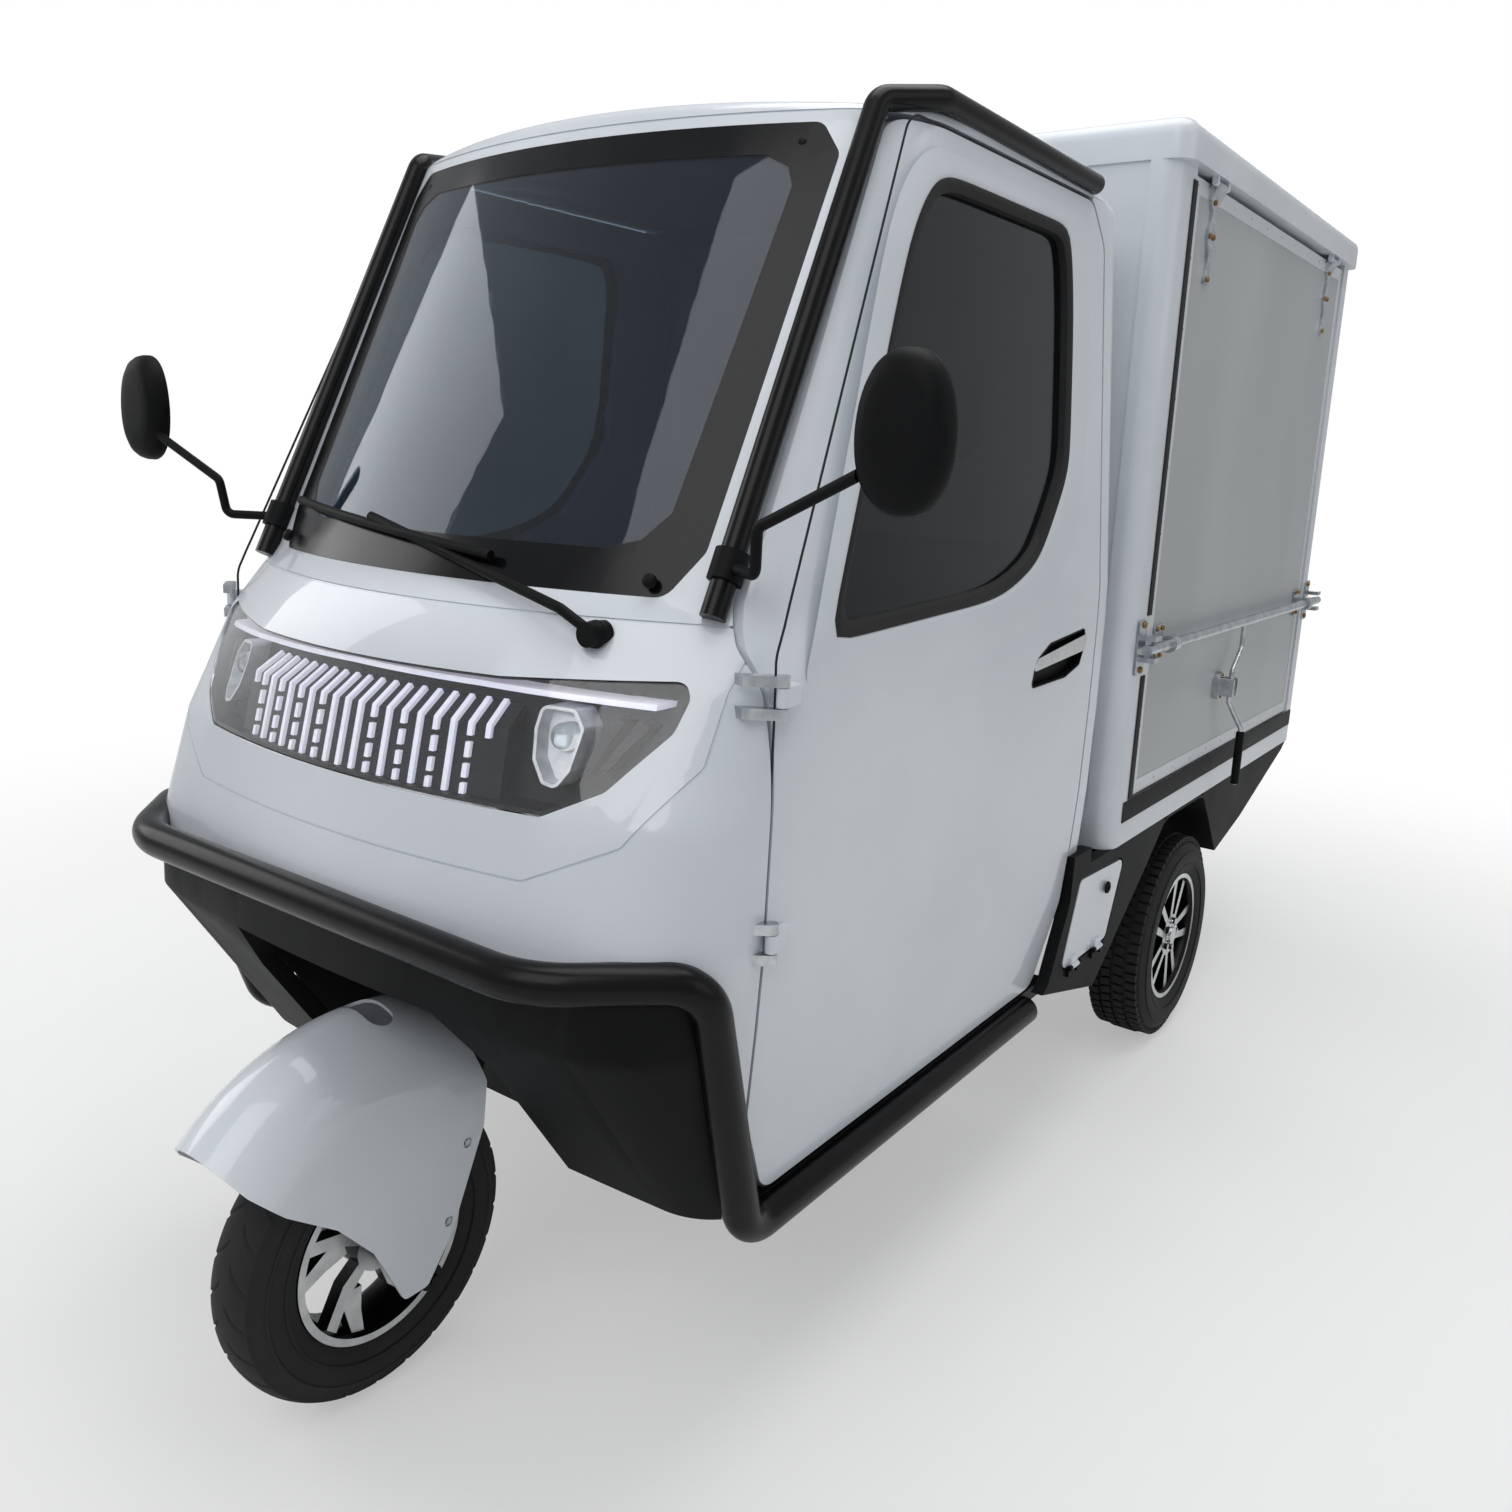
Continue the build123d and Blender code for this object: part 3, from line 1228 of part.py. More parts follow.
dash_outline = [(-150, 1085), (148, 1075), (162, 1120), (120, 1196), (-150, 1196)]
dash = cab_volume(wall + seat_gap) & side_prism(dash_outline, 12)
tray_notch = outer - cab_volume(tray_deep + tray_wall + 2)
save(dash - (tray_notch & front_prism(lamp_outline, 22, grow=2, far=300)), "dashboard")
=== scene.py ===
import json
import math

import bmesh
import bpy
from mathutils import Matrix, Vector


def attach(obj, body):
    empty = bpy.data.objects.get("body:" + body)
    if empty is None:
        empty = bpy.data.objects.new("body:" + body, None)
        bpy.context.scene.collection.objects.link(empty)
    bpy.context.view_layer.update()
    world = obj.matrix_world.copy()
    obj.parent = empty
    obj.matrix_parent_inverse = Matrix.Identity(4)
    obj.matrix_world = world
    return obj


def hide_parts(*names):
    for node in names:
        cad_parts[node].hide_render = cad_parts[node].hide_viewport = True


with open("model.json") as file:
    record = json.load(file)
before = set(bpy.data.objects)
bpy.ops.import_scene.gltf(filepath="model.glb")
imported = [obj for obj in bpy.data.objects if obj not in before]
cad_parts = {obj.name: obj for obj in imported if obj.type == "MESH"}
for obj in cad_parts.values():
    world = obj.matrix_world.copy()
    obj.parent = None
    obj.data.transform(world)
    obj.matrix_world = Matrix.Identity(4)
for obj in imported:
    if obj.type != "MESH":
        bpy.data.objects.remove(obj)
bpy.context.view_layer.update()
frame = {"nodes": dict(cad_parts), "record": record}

# Chassis
# Two welded box-section rails with cross members, the steering head and its bridge.
# Mild steel, welded and powder-coated satin black, so its edges carry a soft sheen.
mm = 0.001               # the materials' grain is given in millimetres


def linear(code):
    """An sRGB hex colour as linear RGBA."""
    parts = [int(code[i:i + 2], 16) / 255 for i in (1, 3, 5)]
    return [c / 12.92 if c <= 0.04045 else ((c + 0.055) / 1.055) ** 2.4 for c in parts] + [1]


def add(tree, kind, values=(), links=(), **settings):
    """Adds a node with its settings, values and incoming links."""
    made = tree.nodes.new(kind)
    for name, value in settings.items():
        setattr(made, name, value)
    for socket, value in dict(values).items():
        made.inputs[socket].default_value = value
    for socket, source in dict(links).items():
        tree.links.new(source, made.inputs[socket])
    return made


def material(name, **sockets):
    """A new material and its node tree, the shader's own sockets set."""
    made = bpy.data.materials.new(name)
    made.use_nodes = True
    shader = made.node_tree.nodes["Principled BSDF"]
    for socket, value in sockets.items():
        shader.inputs[socket.replace("_", " ")].default_value = value
    return made, made.node_tree, shader


def noise_of(tree, size, detail, stretch=(1, 1, 1)):
    """A noise of this grain size in metres, on the piece's own coordinates."""
    place = add(tree, "ShaderNodeTexCoord")
    mapped = add(tree, "ShaderNodeMapping", {"Scale": stretch}, {"Vector": place.outputs["Object"]})
    return add(tree, "ShaderNodeTexNoise", {"Scale": 1 / size, "Detail": detail},
               {"Vector": mapped.outputs["Vector"]})


def grain(tree, shader, size, depth):
    """Fine unevenness: a noise of this grain size, raised by this depth, in metres."""
    noise = noise_of(tree, size, 2.0)
    bump = add(tree, "ShaderNodeBump", {"Strength": 1.0, "Distance": depth},
               {"Height": noise.outputs["Fac"]})
    tree.links.new(bump.outputs["Normal"], shader.inputs["Normal"])


def mottle(tree, shader, size, low, high, rough=None, detail=3.0, stretch=(1, 1, 1)):
    """Colour that drifts between two tones over this size, and the roughness if given."""
    noise = noise_of(tree, size, detail, stretch)
    ramp = add(tree, "ShaderNodeValToRGB", {}, {"Fac": noise.outputs["Fac"]})
    for stop, place, code in zip(ramp.color_ramp.elements, (0.36, 0.64), (low, high)):
        stop.position = place
        stop.color = linear(code)
    tree.links.new(ramp.outputs["Color"], shader.inputs["Base Color"])
    if rough:
        spread = add(tree, "ShaderNodeMapRange", {"To Min": rough[0], "To Max": rough[1]},
                     {"Value": noise.outputs["Fac"]})
        tree.links.new(spread.outputs["Result"], shader.inputs["Roughness"])


home = {}                # the body that each CAD node rides on
for body, names in frame["record"]["behaviour"]["bodies"].items():
    for name in names:
        home[name] = body
slots = {part["node"]: part["material_slot"] for part in frame["record"]["subparts"]}


def put(piece, body, slot, *materials):
    """Gives a finished piece its materials and its body; the slot is not used."""
    if piece.name not in bpy.context.scene.collection.objects:
        bpy.context.scene.collection.objects.link(piece)
    for each in materials:
        piece.data.materials.append(each)
    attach(piece, body)
    return piece


def smooth(mesh, degrees):
    """Smooth faces, with the edges sharper than this angle kept crisp."""
    for face in mesh.faces:
        face.smooth = True
    for edge in mesh.edges:
        edge.smooth = edge.calc_face_angle(0) < math.radians(degrees)


def shape(name, mesh, degrees=35):
    """An object from a finished bmesh."""
    smooth(mesh, degrees)
    data = bpy.data.meshes.new(name)
    mesh.to_mesh(data)
    mesh.free()
    return bpy.data.objects.new(name, data)


def merged(node):
    """A bmesh copy of a CAD node, its loose triangles joined."""
    mesh = bmesh.new()
    mesh.from_mesh(frame["nodes"][node].data)
    bmesh.ops.remove_doubles(mesh, verts=mesh.verts, dist=0.00002)
    return mesh


def dress(node, *materials, degrees=35):
    """A smooth copy of a CAD node that stands for it."""
    piece = shape("dressed_" + node, merged(node), degrees)
    put(piece, home[node], slots[node], *materials)
    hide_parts(node)
    return piece


# the coat is baked on with a fine pebbled skin, and dulls in patches
powder_coat, tree, shader = material(
    "powder_coated_steel", Base_Color=linear("#0F1011"), Roughness=0.45,
    Specular_IOR_Level=0.18)
mottle(tree, shader, 160 * mm, "#0C0D0E", "#131416", (0.38, 0.52))
grain(tree, shader, 1.6 * mm, 0.05 * mm)
dress("chassis_frame", powder_coat)

# Rear axle, springs and motor
# A live axle with brake drums hangs on two leaf springs; the motor drives it directly.
# Sprayed black steel, with the motor's case left in raw cast aluminium.
front_axle = -1.318      # Y of the front axle


def at(behind):
    """Y of a point that lies this far behind the front axle, both in metres."""
    return front_axle + behind


def aimed(place, direction):
    """The matrix that sets a form standing on the origin at a place, its Z this way."""
    turn = Vector(direction).to_track_quat("Z", "Y").to_matrix().to_4x4()
    return Matrix.Translation(place) @ turn


def rod(mesh, start, end, radius, sides=16):
    """A round bar from one point to another."""
    start, end = Vector(start), Vector(end)
    bmesh.ops.create_cone(mesh, cap_ends=True, segments=sides, radius1=radius, radius2=radius,
                          depth=(end - start).length,
                          matrix=aimed((start + end) / 2, end - start))


def turned(mesh, outline, place, direction, steps=24):
    """A form turned on a lathe: outline of radius and height, set down at a place."""
    part = bmesh.new()
    verts = [part.verts.new((radius, 0, height)) for radius, height in outline]
    edges = [part.edges.new(pair) for pair in zip(verts, verts[1:])]
    bmesh.ops.spin(part, geom=verts + edges, cent=(0, 0, 0), axis=(0, 0, 1), angle=math.tau,
                   steps=steps, use_merge=True)
    bmesh.ops.remove_doubles(part, verts=part.verts, dist=0.00001)
    bmesh.ops.recalc_face_normals(part, faces=part.faces)
    part.transform(aimed(place, direction))
    scrap = bpy.data.meshes.new("scrap")
    part.to_mesh(scrap)
    part.free()
    mesh.from_mesh(scrap)
    bpy.data.meshes.remove(scrap)


rear_axle_y = at(1.981)
dress("rear_axle", powder_coat)
# paint brushed over forge scale, uneven and faintly brown
spring_steel, tree, shader = material(
    "painted_spring_steel", Base_Color=linear("#202123"), Roughness=0.55)
mottle(tree, shader, 40 * mm, "#1B1B1C", "#2A2724", (0.5, 0.7))
grain(tree, shader, 4 * mm, 0.1 * mm)
dress("leaf_springs", spring_steel)
# the sand mould leaves a coarse dull grain on the bare metal
cast_case, tree, shader = material(
    "sand_cast_aluminium", Base_Color=linear("#6E7072"), Metallic=1.0, Roughness=0.55)
mottle(tree, shader, 30 * mm, "#63656A", "#7A7B7C")
grain(tree, shader, 2.2 * mm, 0.25 * mm)
dress("drive_motor", cast_case)
cooling = bmesh.new()
fin_pitch = 0.018
for step in range(9):
    start = -0.182 + step * fin_pitch
    turned(cooling, [(0.080, 0), (0.0855, 0.0015), (0.0855, 0.0065), (0.080, 0.008)],
           (start, at(1.861), 0.274), (1, 0, 0), 32)
put(shape("motor_cooling_fins", cooling, 40), "body", "cast_motor", cast_case)
# a moulded texture that spreads the light evenly
battery_case, tree, shader = material(
    "moulded_battery_case", Base_Color=linear("#26292C"), Roughness=0.6)
mottle(tree, shader, 70 * mm, "#222528", "#2B2E31", (0.52, 0.66))
grain(tree, shader, 1.5 * mm, 0.08 * mm)
dress("battery_box", battery_case)
# bright plating with cloudy patches a few centimetres across
zinc, tree, shader = material(
    "zinc_plated_steel", Base_Color=linear("#BCC0C4"), Metallic=1.0, Roughness=0.24)
mottle(tree, shader, 22 * mm, "#ABB0B5", "#CBCED1", (0.18, 0.32))
spring_bolts = bmesh.new()
spring_across = 0.3
for side in (-1, 1):
    for way in (-1, 1):
        for across in (-1, 1):
            x, y = side * spring_across + across * 0.029, at(1.981 + way * 0.031)
            rod(spring_bolts, (x, y, 0.292), (x, y, 0.346), 0.005, 10)
put(shape("spring_u_bolts", spring_bolts), "body", "zinc_steel", zinc)

# Tyres
# Pneumatic rubber tyres, the front with curved rain grooves, the rear with a block tread.
# The rubber is matte black all over, with raised rings moulded on the sidewalls.

# cured rubber takes dust in its grain, which makes it dull and a little uneven
rubber, tree, shader = material(
    "vulcanised_rubber", Base_Color=linear("#161617"), Roughness=0.72, Specular_IOR_Level=0.4)
mottle(tree, shader, 60 * mm, "#131314", "#1C1C1D", (0.6, 0.8))
grain(tree, shader, 2.5 * mm, 0.12 * mm)


def carcass(radius, width, seat, deep, steps, rows=1):
    """A tyre spun about the X axis, its crown lowered by the tread's depth."""
    half = width / 2
    shoulder = 0.76          # the tread's share of the half width
    crowning = 0.010         # how much lower the shoulder lies than the middle
    outline = [(-half + 0.014, seat), (-half + 0.007, seat + 0.008), (-half + 0.001, seat + 0.030),
               (-half, (seat + radius) / 2 + 0.004), (-half + 0.004, radius - 0.034),
               (-half + 0.011, radius - 0.020)]
    crown = []
    for step in range(4 * rows + 1):
        across = -shoulder + shoulder * step / (4 * rows)
        lowered = crowning * abs(across / shoulder) ** 2.4
        crown.append((across * half, radius - deep - lowered))
    outline += crown
    outline += [(-x, r) for x, r in reversed(outline[:-1])]
    mesh = bmesh.new()
    ring = [mesh.verts.new((x, 0, r)) for x, r in outline]
    edges = [mesh.edges.new(pair) for pair in zip(ring, ring[1:])]
    edges.append(mesh.edges.new((ring[-1], ring[0])))
    bmesh.ops.spin(mesh, geom=ring + edges, cent=(0, 0, 0), axis=(1, 0, 0),
                   angle=math.tau, steps=steps, use_merge=True)
    bmesh.ops.recalc_face_normals(mesh, faces=mesh.faces)
    return mesh


def bead_rings(mesh, width, radii):
    """Raised rings moulded round both sidewalls, above the bead."""
    for side in (-1, 1):
        for radius in radii:
            turned(mesh, [(radius - 0.0022, 0), (radius - 0.001, 0.0012), (radius + 0.001, 0.0012),
                          (radius + 0.0022, 0)],
                   (side * (width / 2 - 0.0012), 0, 0), (side, 0, 0), 96)


def grooved_tyre(node, centre, radius, width, seat, pitches):
    """A road tyre whose crown carries curved grooves that sweep out to both shoulders."""
    mesh = carcass(radius, width, seat, 0.0, 720, 5)
    half = width / 2
    inner, outer = 0.10, 0.80          # where the grooves run, as shares of the half width
    groove_deep = 0.0026
    groove_wide = 0.075                # half width, as a share of the pitch
    for vert in mesh.verts:
        reach = math.hypot(vert.co.y, vert.co.z)
        across = abs(vert.co.x) / half
        if reach < radius - 0.016 or not inner < across < outer:
            continue
        turn = math.atan2(vert.co.y, vert.co.z) / math.tau * pitches
        sweep = 0.95 * (across - inner) ** 0.55 + (0.5 if vert.co.x > 0 else 0.0)
        off = abs((turn + sweep) % 1 - 0.5)
        depth = groove_deep * max(0.0, 1 - (off / groove_wide) ** 2) * min(1, (across - inner) * 12)
        vert.co.y *= (reach - depth) / reach
        vert.co.z *= (reach - depth) / reach
    bead_rings(mesh, width, (seat + 0.024, seat + 0.052))
    bmesh.ops.translate(mesh, verts=mesh.verts, vec=centre)
    piece = put(shape("grooved_" + node, mesh, 32), home[node], slots[node], rubber)
    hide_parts(node)


def block_tyre(node, centre, radius, width, seat, blocks):
    """A carrier's tyre with a tread of raised blocks in four rows."""
    half = width / 2
    deep = 0.006             # tread depth
    mesh = carcass(radius, width, seat, deep, 120)
    # Columns: middle across, width, shift in pitches, lean, height below the crown
    rows = [(-half * 0.62, half * 0.34, 0.0, 0.0, 0.0032),
            (-half * 0.20, half * 0.30, 0.5, 0.16, 0.0),
            (half * 0.20, half * 0.30, 0.0, -0.16, 0.0),
            (half * 0.62, half * 0.34, 0.5, 0.0, 0.0032)]
    pitch = math.tau / blocks
    for across, wide, shift, lean, drop in rows:
        for step in range(blocks):
            made = bmesh.ops.create_cube(mesh, size=1)["verts"]
            length = radius * pitch * 0.74
            turn = Matrix.Rotation((step + shift) * pitch, 4, "X")
            tilt = Matrix.Rotation(lean, 4, "Z")
            spot = Matrix.Translation((across, 0, radius - drop - deep))
            size = Matrix.Diagonal((wide, length, deep * 2, 1))
            bmesh.ops.transform(mesh, verts=made, matrix=turn @ spot @ tilt @ size)
            tops = [v for v in made if (v.co.y ** 2 + v.co.z ** 2) ** 0.5 > radius - drop - deep]
            for vert in tops:
                reach = (vert.co.y ** 2 + vert.co.z ** 2) ** 0.5
                vert.co.y *= (radius - drop) / reach
                vert.co.z *= (radius - drop) / reach
    bead_rings(mesh, width, (seat + 0.026, seat + 0.056))
    bmesh.ops.translate(mesh, verts=mesh.verts, vec=centre)
    piece = put(shape("treaded_" + node, mesh, 30), home[node], slots[node], rubber)
    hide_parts(node)


front_hub = (0, at(0), 0.229)
rear_hub_left = (0.494, rear_axle_y, 0.254)
rear_hub_right = (-0.494, rear_axle_y, 0.254)
grooved_tyre("front_tyre", front_hub, radius=0.229, width=0.108, seat=0.142, pitches=26)
block_tyre("rear_tyre_left", rear_hub_left, radius=0.254, width=0.145, seat=0.158, blocks=64)
block_tyre("rear_tyre_right", rear_hub_right, radius=0.254, width=0.145, seat=0.158, blocks=64)

# Rims
# Gravity-cast aluminium wheels, painted gloss black and then faced on a lathe.
# The cut spoke faces and lips are bright satin metal; the rear hubs carry chromed caps.

# sprayed enamel: deep black with soft highlights along its edges
black_enamel, tree, shader = material(
    "gloss_black_enamel", Base_Color=linear("#070708"), Roughness=0.26,
    Specular_IOR_Level=0.2)
mottle(tree, shader, 50 * mm, "#060607", "#0B0B0C", (0.2, 0.32))
# turning blurs its reflections to a satin sheen
machined, tree, shader = material(
    "machined_aluminium", Base_Color=linear("#D9DADC"), Metallic=0.85, Roughness=0.3)
mottle(tree, shader, 26 * mm, "#D0D2D4", "#E2E3E4", (0.24, 0.38))
# polished before plating, so nearly a mirror
bright_chrome, tree, shader = material(
    "chromed_steel", Base_Color=linear("#D6D7D9"), Metallic=1.0, Roughness=0.08)
mottle(tree, shader, 30 * mm, "#CFD1D4", "#DBDCDD", (0.05, 0.12))


def rim(node, centre, side, faced, chromed):
    """A CAD rim whose outward faces near the front of its spokes are cut bright."""
    mesh = merged(node)
    for face in mesh.faces:
        middle = face.calc_center_median() - Vector(centre)
        out = middle.x * side
        reach = (middle.y ** 2 + middle.z ** 2) ** 0.5
        if face.normal.x * side > 0.7 and out > faced:
            face.material_index = 1
        if reach < chromed and out > faced:
            face.material_index = 2
    piece = put(shape("faced_" + node, mesh, 30), home[node], slots[node],
                black_enamel, machined, bright_chrome)
    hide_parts(node)


def screw(mesh, place, direction, radius):
    """A hexagon head with its washer."""
    bmesh.ops.create_cone(mesh, cap_ends=True, segments=16, radius1=radius * 1.35,
                          radius2=radius * 1.3, depth=radius * 0.3, matrix=aimed(place, direction))
    bmesh.ops.create_cone(mesh, cap_ends=True, segments=6, radius1=radius, radius2=radius * 0.92,
                          depth=radius * 1.2, matrix=aimed(place, direction))


rim("front_rim", front_hub, side=1, faced=0.030, chromed=0.0)
rim("rear_rim_left", rear_hub_left, side=1, faced=0.044, chromed=0.030)
rim("rear_rim_right", rear_hub_right, side=-1, faced=0.044, chromed=0.030)
bolt_circle = 0.034
both_sides = (("left", 1), ("right", -1))
for name, side in both_sides:
    # a chromed cap over the axle's nut, with the wheel's bolts round it
    cap = bmesh.new()
    turned(cap, [(0, 0.0075), (0.012, 0.0070), (0.019, 0.0045), (0.0215, 0.0), (0.0215, -0.010)],
           (side * 0.5478, rear_axle_y, 0.254), (side, 0, 0), 32)
    for step in range(5):
        angle = math.tau * step / 5
        screw(cap, (side * 0.5490, rear_axle_y + bolt_circle * math.sin(angle),
                    0.254 + bolt_circle * math.cos(angle)), (side, 0, 0), 0.0052)
    put(shape("rear_hub_cap_" + name, cap), "rear_wheel_" + name, "chrome", bright_chrome)
# Columns: body, hub's place, side that the valve looks to, radius of the valve hole
for body, hub, side, radius in (("front_wheel", front_hub, 1, 0.121),
                                ("rear_wheel_left", rear_hub_left, 1, 0.137),
                                ("rear_wheel_right", rear_hub_right, -1, 0.137)):
    stem = bmesh.new()
    foot = Vector(hub) + Vector((side * 0.022, radius * 0.81, -radius * 0.59))
    turned(stem, [(0, 0), (0.0055, 0), (0.0055, 0.012), (0.0038, 0.015), (0.0038, 0.028),
                  (0.0030, 0.030), (0, 0.030)], foot, (side * 0.55, -0.67, 0.49), 12)
    put(shape(body + "_valve", stem), body, "tyre_rubber", rubber)

# Fork, fender and handlebar
# A tubular fork carries a moulded fender round the front wheel, held by four small bolts.
# The fork is powder-coated steel; the fender is sprayed white like the cab.
dress("front_fork", powder_coat)
# the clear coat has a faint orange peel, and road film dulls it in wide soft patches
clear_white, tree, shader = material(
    "clear_coated_white_paint", Base_Color=linear("#D8DDE4"), Roughness=0.35, Coat_Weight=0.8,
    Coat_Roughness=0.05)
mottle(tree, shader, 420 * mm, "#D3D8DF", "#DDE2E8", (0.3, 0.42))
grain(tree, shader, 9 * mm, 0.015 * mm)
dress("front_fender", clear_white)
fender_screws = bmesh.new()
for side in (-1, 1):
    for behind, height in ((0.0778, 0.253), (0.1142, 0.365)):
        screw(fender_screws, (side * 0.0915, at(behind), height), (side, 0, 0), 0.0058)
put(shape("fender_screws", fender_screws), "steering", "zinc_steel", zinc)
dress("handlebar", powder_coat)
# an etched mould gives it a fine texture that keeps it matte
moulded_black, tree, shader = material(
    "moulded_black_polypropylene", Base_Color=linear("#08090A"), Roughness=0.5,
    Specular_IOR_Level=0.12)
mottle(tree, shader, 120 * mm, "#060708", "#0C0D0F", (0.46, 0.6))
grain(tree, shader, 1.2 * mm, 0.05 * mm)
controls = bmesh.new()
for side in (-1, 1):
    # ribbed grip sleeves, the switch housing inside them and the brake lever ahead
    for step in range(14):
        start = Vector((side * (0.224 + step * 0.0075), at(0.375 + step * 0.0018), 1.0272))
        turned(controls, [(0.0125, 0), (0.0165, 0.001), (0.0165, 0.0055), (0.0125, 0.0068)],
               start, (side, 0.23, 0), 16)
    rod(controls, (side * 0.178, at(0.347), 1.026), (side * 0.214, at(0.371), 1.027), 0.021, 20)
    rod(controls, (side * 0.190, at(0.338), 1.024), (side * 0.236, at(0.322), 1.020), 0.006, 12)
    rod(controls, (side * 0.236, at(0.322), 1.020), (side * 0.316, at(0.350), 1.016), 0.005, 12)
put(shape("handlebar_controls", controls, 40), "steering", "black_plastic", moulded_black)

# Seat
# A moulded base with a foam pad and a backrest, both covered in embossed vinyl.
# The foam swells the cover between its rounded edges; the backrest leans to the rear.
dress("seat_base", moulded_black)
# an embossed leather grain breaks the sheen into small glints
seat_vinyl, tree, shader = material(
    "embossed_vinyl", Base_Color=linear("#2A2927"), Roughness=0.5, Sheen_Weight=0.1)
mottle(tree, shader, 90 * mm, "#232220", "#302F2C", (0.42, 0.56))
grain(tree, shader, 3 * mm, 0.3 * mm)


def edges_of(verts):
    """Every edge that meets one of these vertices."""
    return list({edge for vert in verts for edge in vert.link_edges})


def block(mesh, low, high, bevel=0.0):
    """A box between two corners, its edges eased by a bevel."""
    low, high = Vector(low), Vector(high)
    made = bmesh.ops.create_cube(mesh, size=1)["verts"]
    size = Matrix.Diagonal((*(high - low), 1))
    bmesh.ops.transform(mesh, verts=made, matrix=Matrix.Translation((low + high) / 2) @ size)
    if bevel:
        bmesh.ops.bevel(mesh, geom=edges_of(made), offset=bevel, affect="EDGES", segments=2,
                        profile=0.5, material=-1)


def stuffed(name, low, high, bevel, swell, lean=0.0):
    """A foam pad: a bevelled block, blown up a little by cloth under pressure.

    Lean is how far its front leans back, from the foot to the top.
    """
    mesh = bmesh.new()
    inset = Vector((0.006, 0.006, 0.004))
    block(mesh, Vector(low) + inset, Vector(high) - inset, bevel)
    slope = lean / (high[2] - low[2])
    for vert in mesh.verts:
        nearness = (high[1] - vert.co.y) / (high[1] - low[1])
        vert.co.y += slope * (vert.co.z - low[2]) * nearness
    piece = shape(name, mesh, 60)
    bpy.context.scene.collection.objects.link(piece)
    remesh = piece.modifiers.new("even_mesh", "REMESH")
    remesh.mode = "VOXEL"
    remesh.voxel_size = 0.006
    graph = bpy.context.evaluated_depsgraph_get()
    even = bpy.data.meshes.new_from_object(piece.evaluated_get(graph))
    piece.modifiers.clear()
    piece.data = even
    start = [vert.co.copy() for vert in even.vertices]
    settling = 20            # frames that the cloth takes to come to rest
    cloth = piece.modifiers.new("foam", "CLOTH")
    cloth.settings.use_pressure = True
    cloth.settings.uniform_pressure_force = 4
    cloth.settings.effector_weights.gravity = 0
    for step in range(1, settling + 1):
        bpy.context.scene.frame_set(step)
    graph = bpy.context.evaluated_depsgraph_get()
    blown = bpy.data.meshes.new_from_object(piece.evaluated_get(graph))
    piece.modifiers.clear()
    piece.data = blown
    bpy.context.scene.frame_set(1)
    for vert, from_place in zip(blown.vertices, start):
        move = vert.co - from_place
        if move.length > swell:
            vert.co = from_place + move.normalized() * swell
        front = low[1] + slope * (vert.co.z - low[2])
        for axis, least in enumerate((low[0], front, low[2])):
            vert.co[axis] = min(max(vert.co[axis], least), high[axis])
    finer = piece.modifiers.new("finer", "SUBSURF")
    finer.levels = finer.render_levels = 1
    for face in piece.data.polygons:
        face.use_smooth = True
    put(piece, "body", "seat_vinyl", seat_vinyl)
    return piece


seat_pad = stuffed("padded_seat", (-0.390, at(0.735), 0.6605), (0.390, at(1.135), 0.7455), 0.022,
                   0.012)
back_pad = stuffed("padded_backrest", (-0.370, at(1.142), 0.742), (0.370, at(1.2575), 1.250),
                   0.020, 0.012, 0.054)
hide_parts("seat_pads")
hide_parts("seat_pads")

# Cab floor and dashboard
# A pressed steel floor with the front wheel's well, and a moulded dashboard above it.
# Dark satin surfaces that are only seen through the glass and the wheel opening.
dress("cab_floor", powder_coat)
# a leathery mould texture, soft and dull
dash_skin, tree, shader = material(
    "moulded_abs_dashboard", Base_Color=linear("#2B2C2E"), Roughness=0.6)
mottle(tree, shader, 80 * mm, "#262729", "#303134", (0.54, 0.66))
grain(tree, shader, 2 * mm, 0.1 * mm)
dress("dashboard", dash_skin)
floor_mat = bmesh.new()
rib_pitch = 0.026
for step in range(15):
    block(floor_mat, (-0.44, at(0.345 + step * rib_pitch), 0.3822),
          (0.44, at(0.357 + step * rib_pitch), 0.3848), 0.0008)
put(shape("ribbed_floor_mat", floor_mat), "body", "tyre_rubber", rubber)

# Cab shell
# Moulded and pressed panels sprayed white, with a clear coat, on a tubular frame.
# The lower skirt is matte black plastic; the tubes outside are sprayed gloss black.
for node in ("nose_shell", "windscreen_frame", "cab_roof", "cab_rear_wall", "door_left",
             "door_right"):
    dress(node, clear_white, degrees=28)
dress("front_skirt", moulded_black)
dress("bumper_tube", black_enamel)
dress("gutter_tubes", black_enamel)
dress("door_hinges", zinc)
for node, sign in (("door_handle_left", 1), ("door_handle_right", -1)):
    # the pull that crosses the cup is chromed, the cup behind it is black
    mesh = merged(node)
    for face in mesh.faces:
        middle = face.calc_center_median()
        lower = 1.046 + (middle.y - at(0.938)) * 0.0721
        upper = 1.068 + (middle.y - at(0.955)) * 0.1148
        if middle.x * sign > 0.5637 and lower - 0.001 < middle.z < upper + 0.001:
            face.material_index = 1
    piece = put(shape("dressed_" + node, mesh, 30), home[node], slots[node], moulded_black,
                bright_chrome)
    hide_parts(node)

# Door window surrounds
# The door's skin rises in a soft bead round the window and a rubber gasket holds the pane.
# The bead is part of the pressed skin; the gasket is extruded black rubber.

# Columns: height, half width of the door's outer face
door_skin = [(0.370, 0.537), (0.672, 0.560), (0.777, 0.566), (0.948, 0.569), (1.105, 0.569),
             (1.179, 0.567), (1.207, 0.564), (1.960, 0.501)]
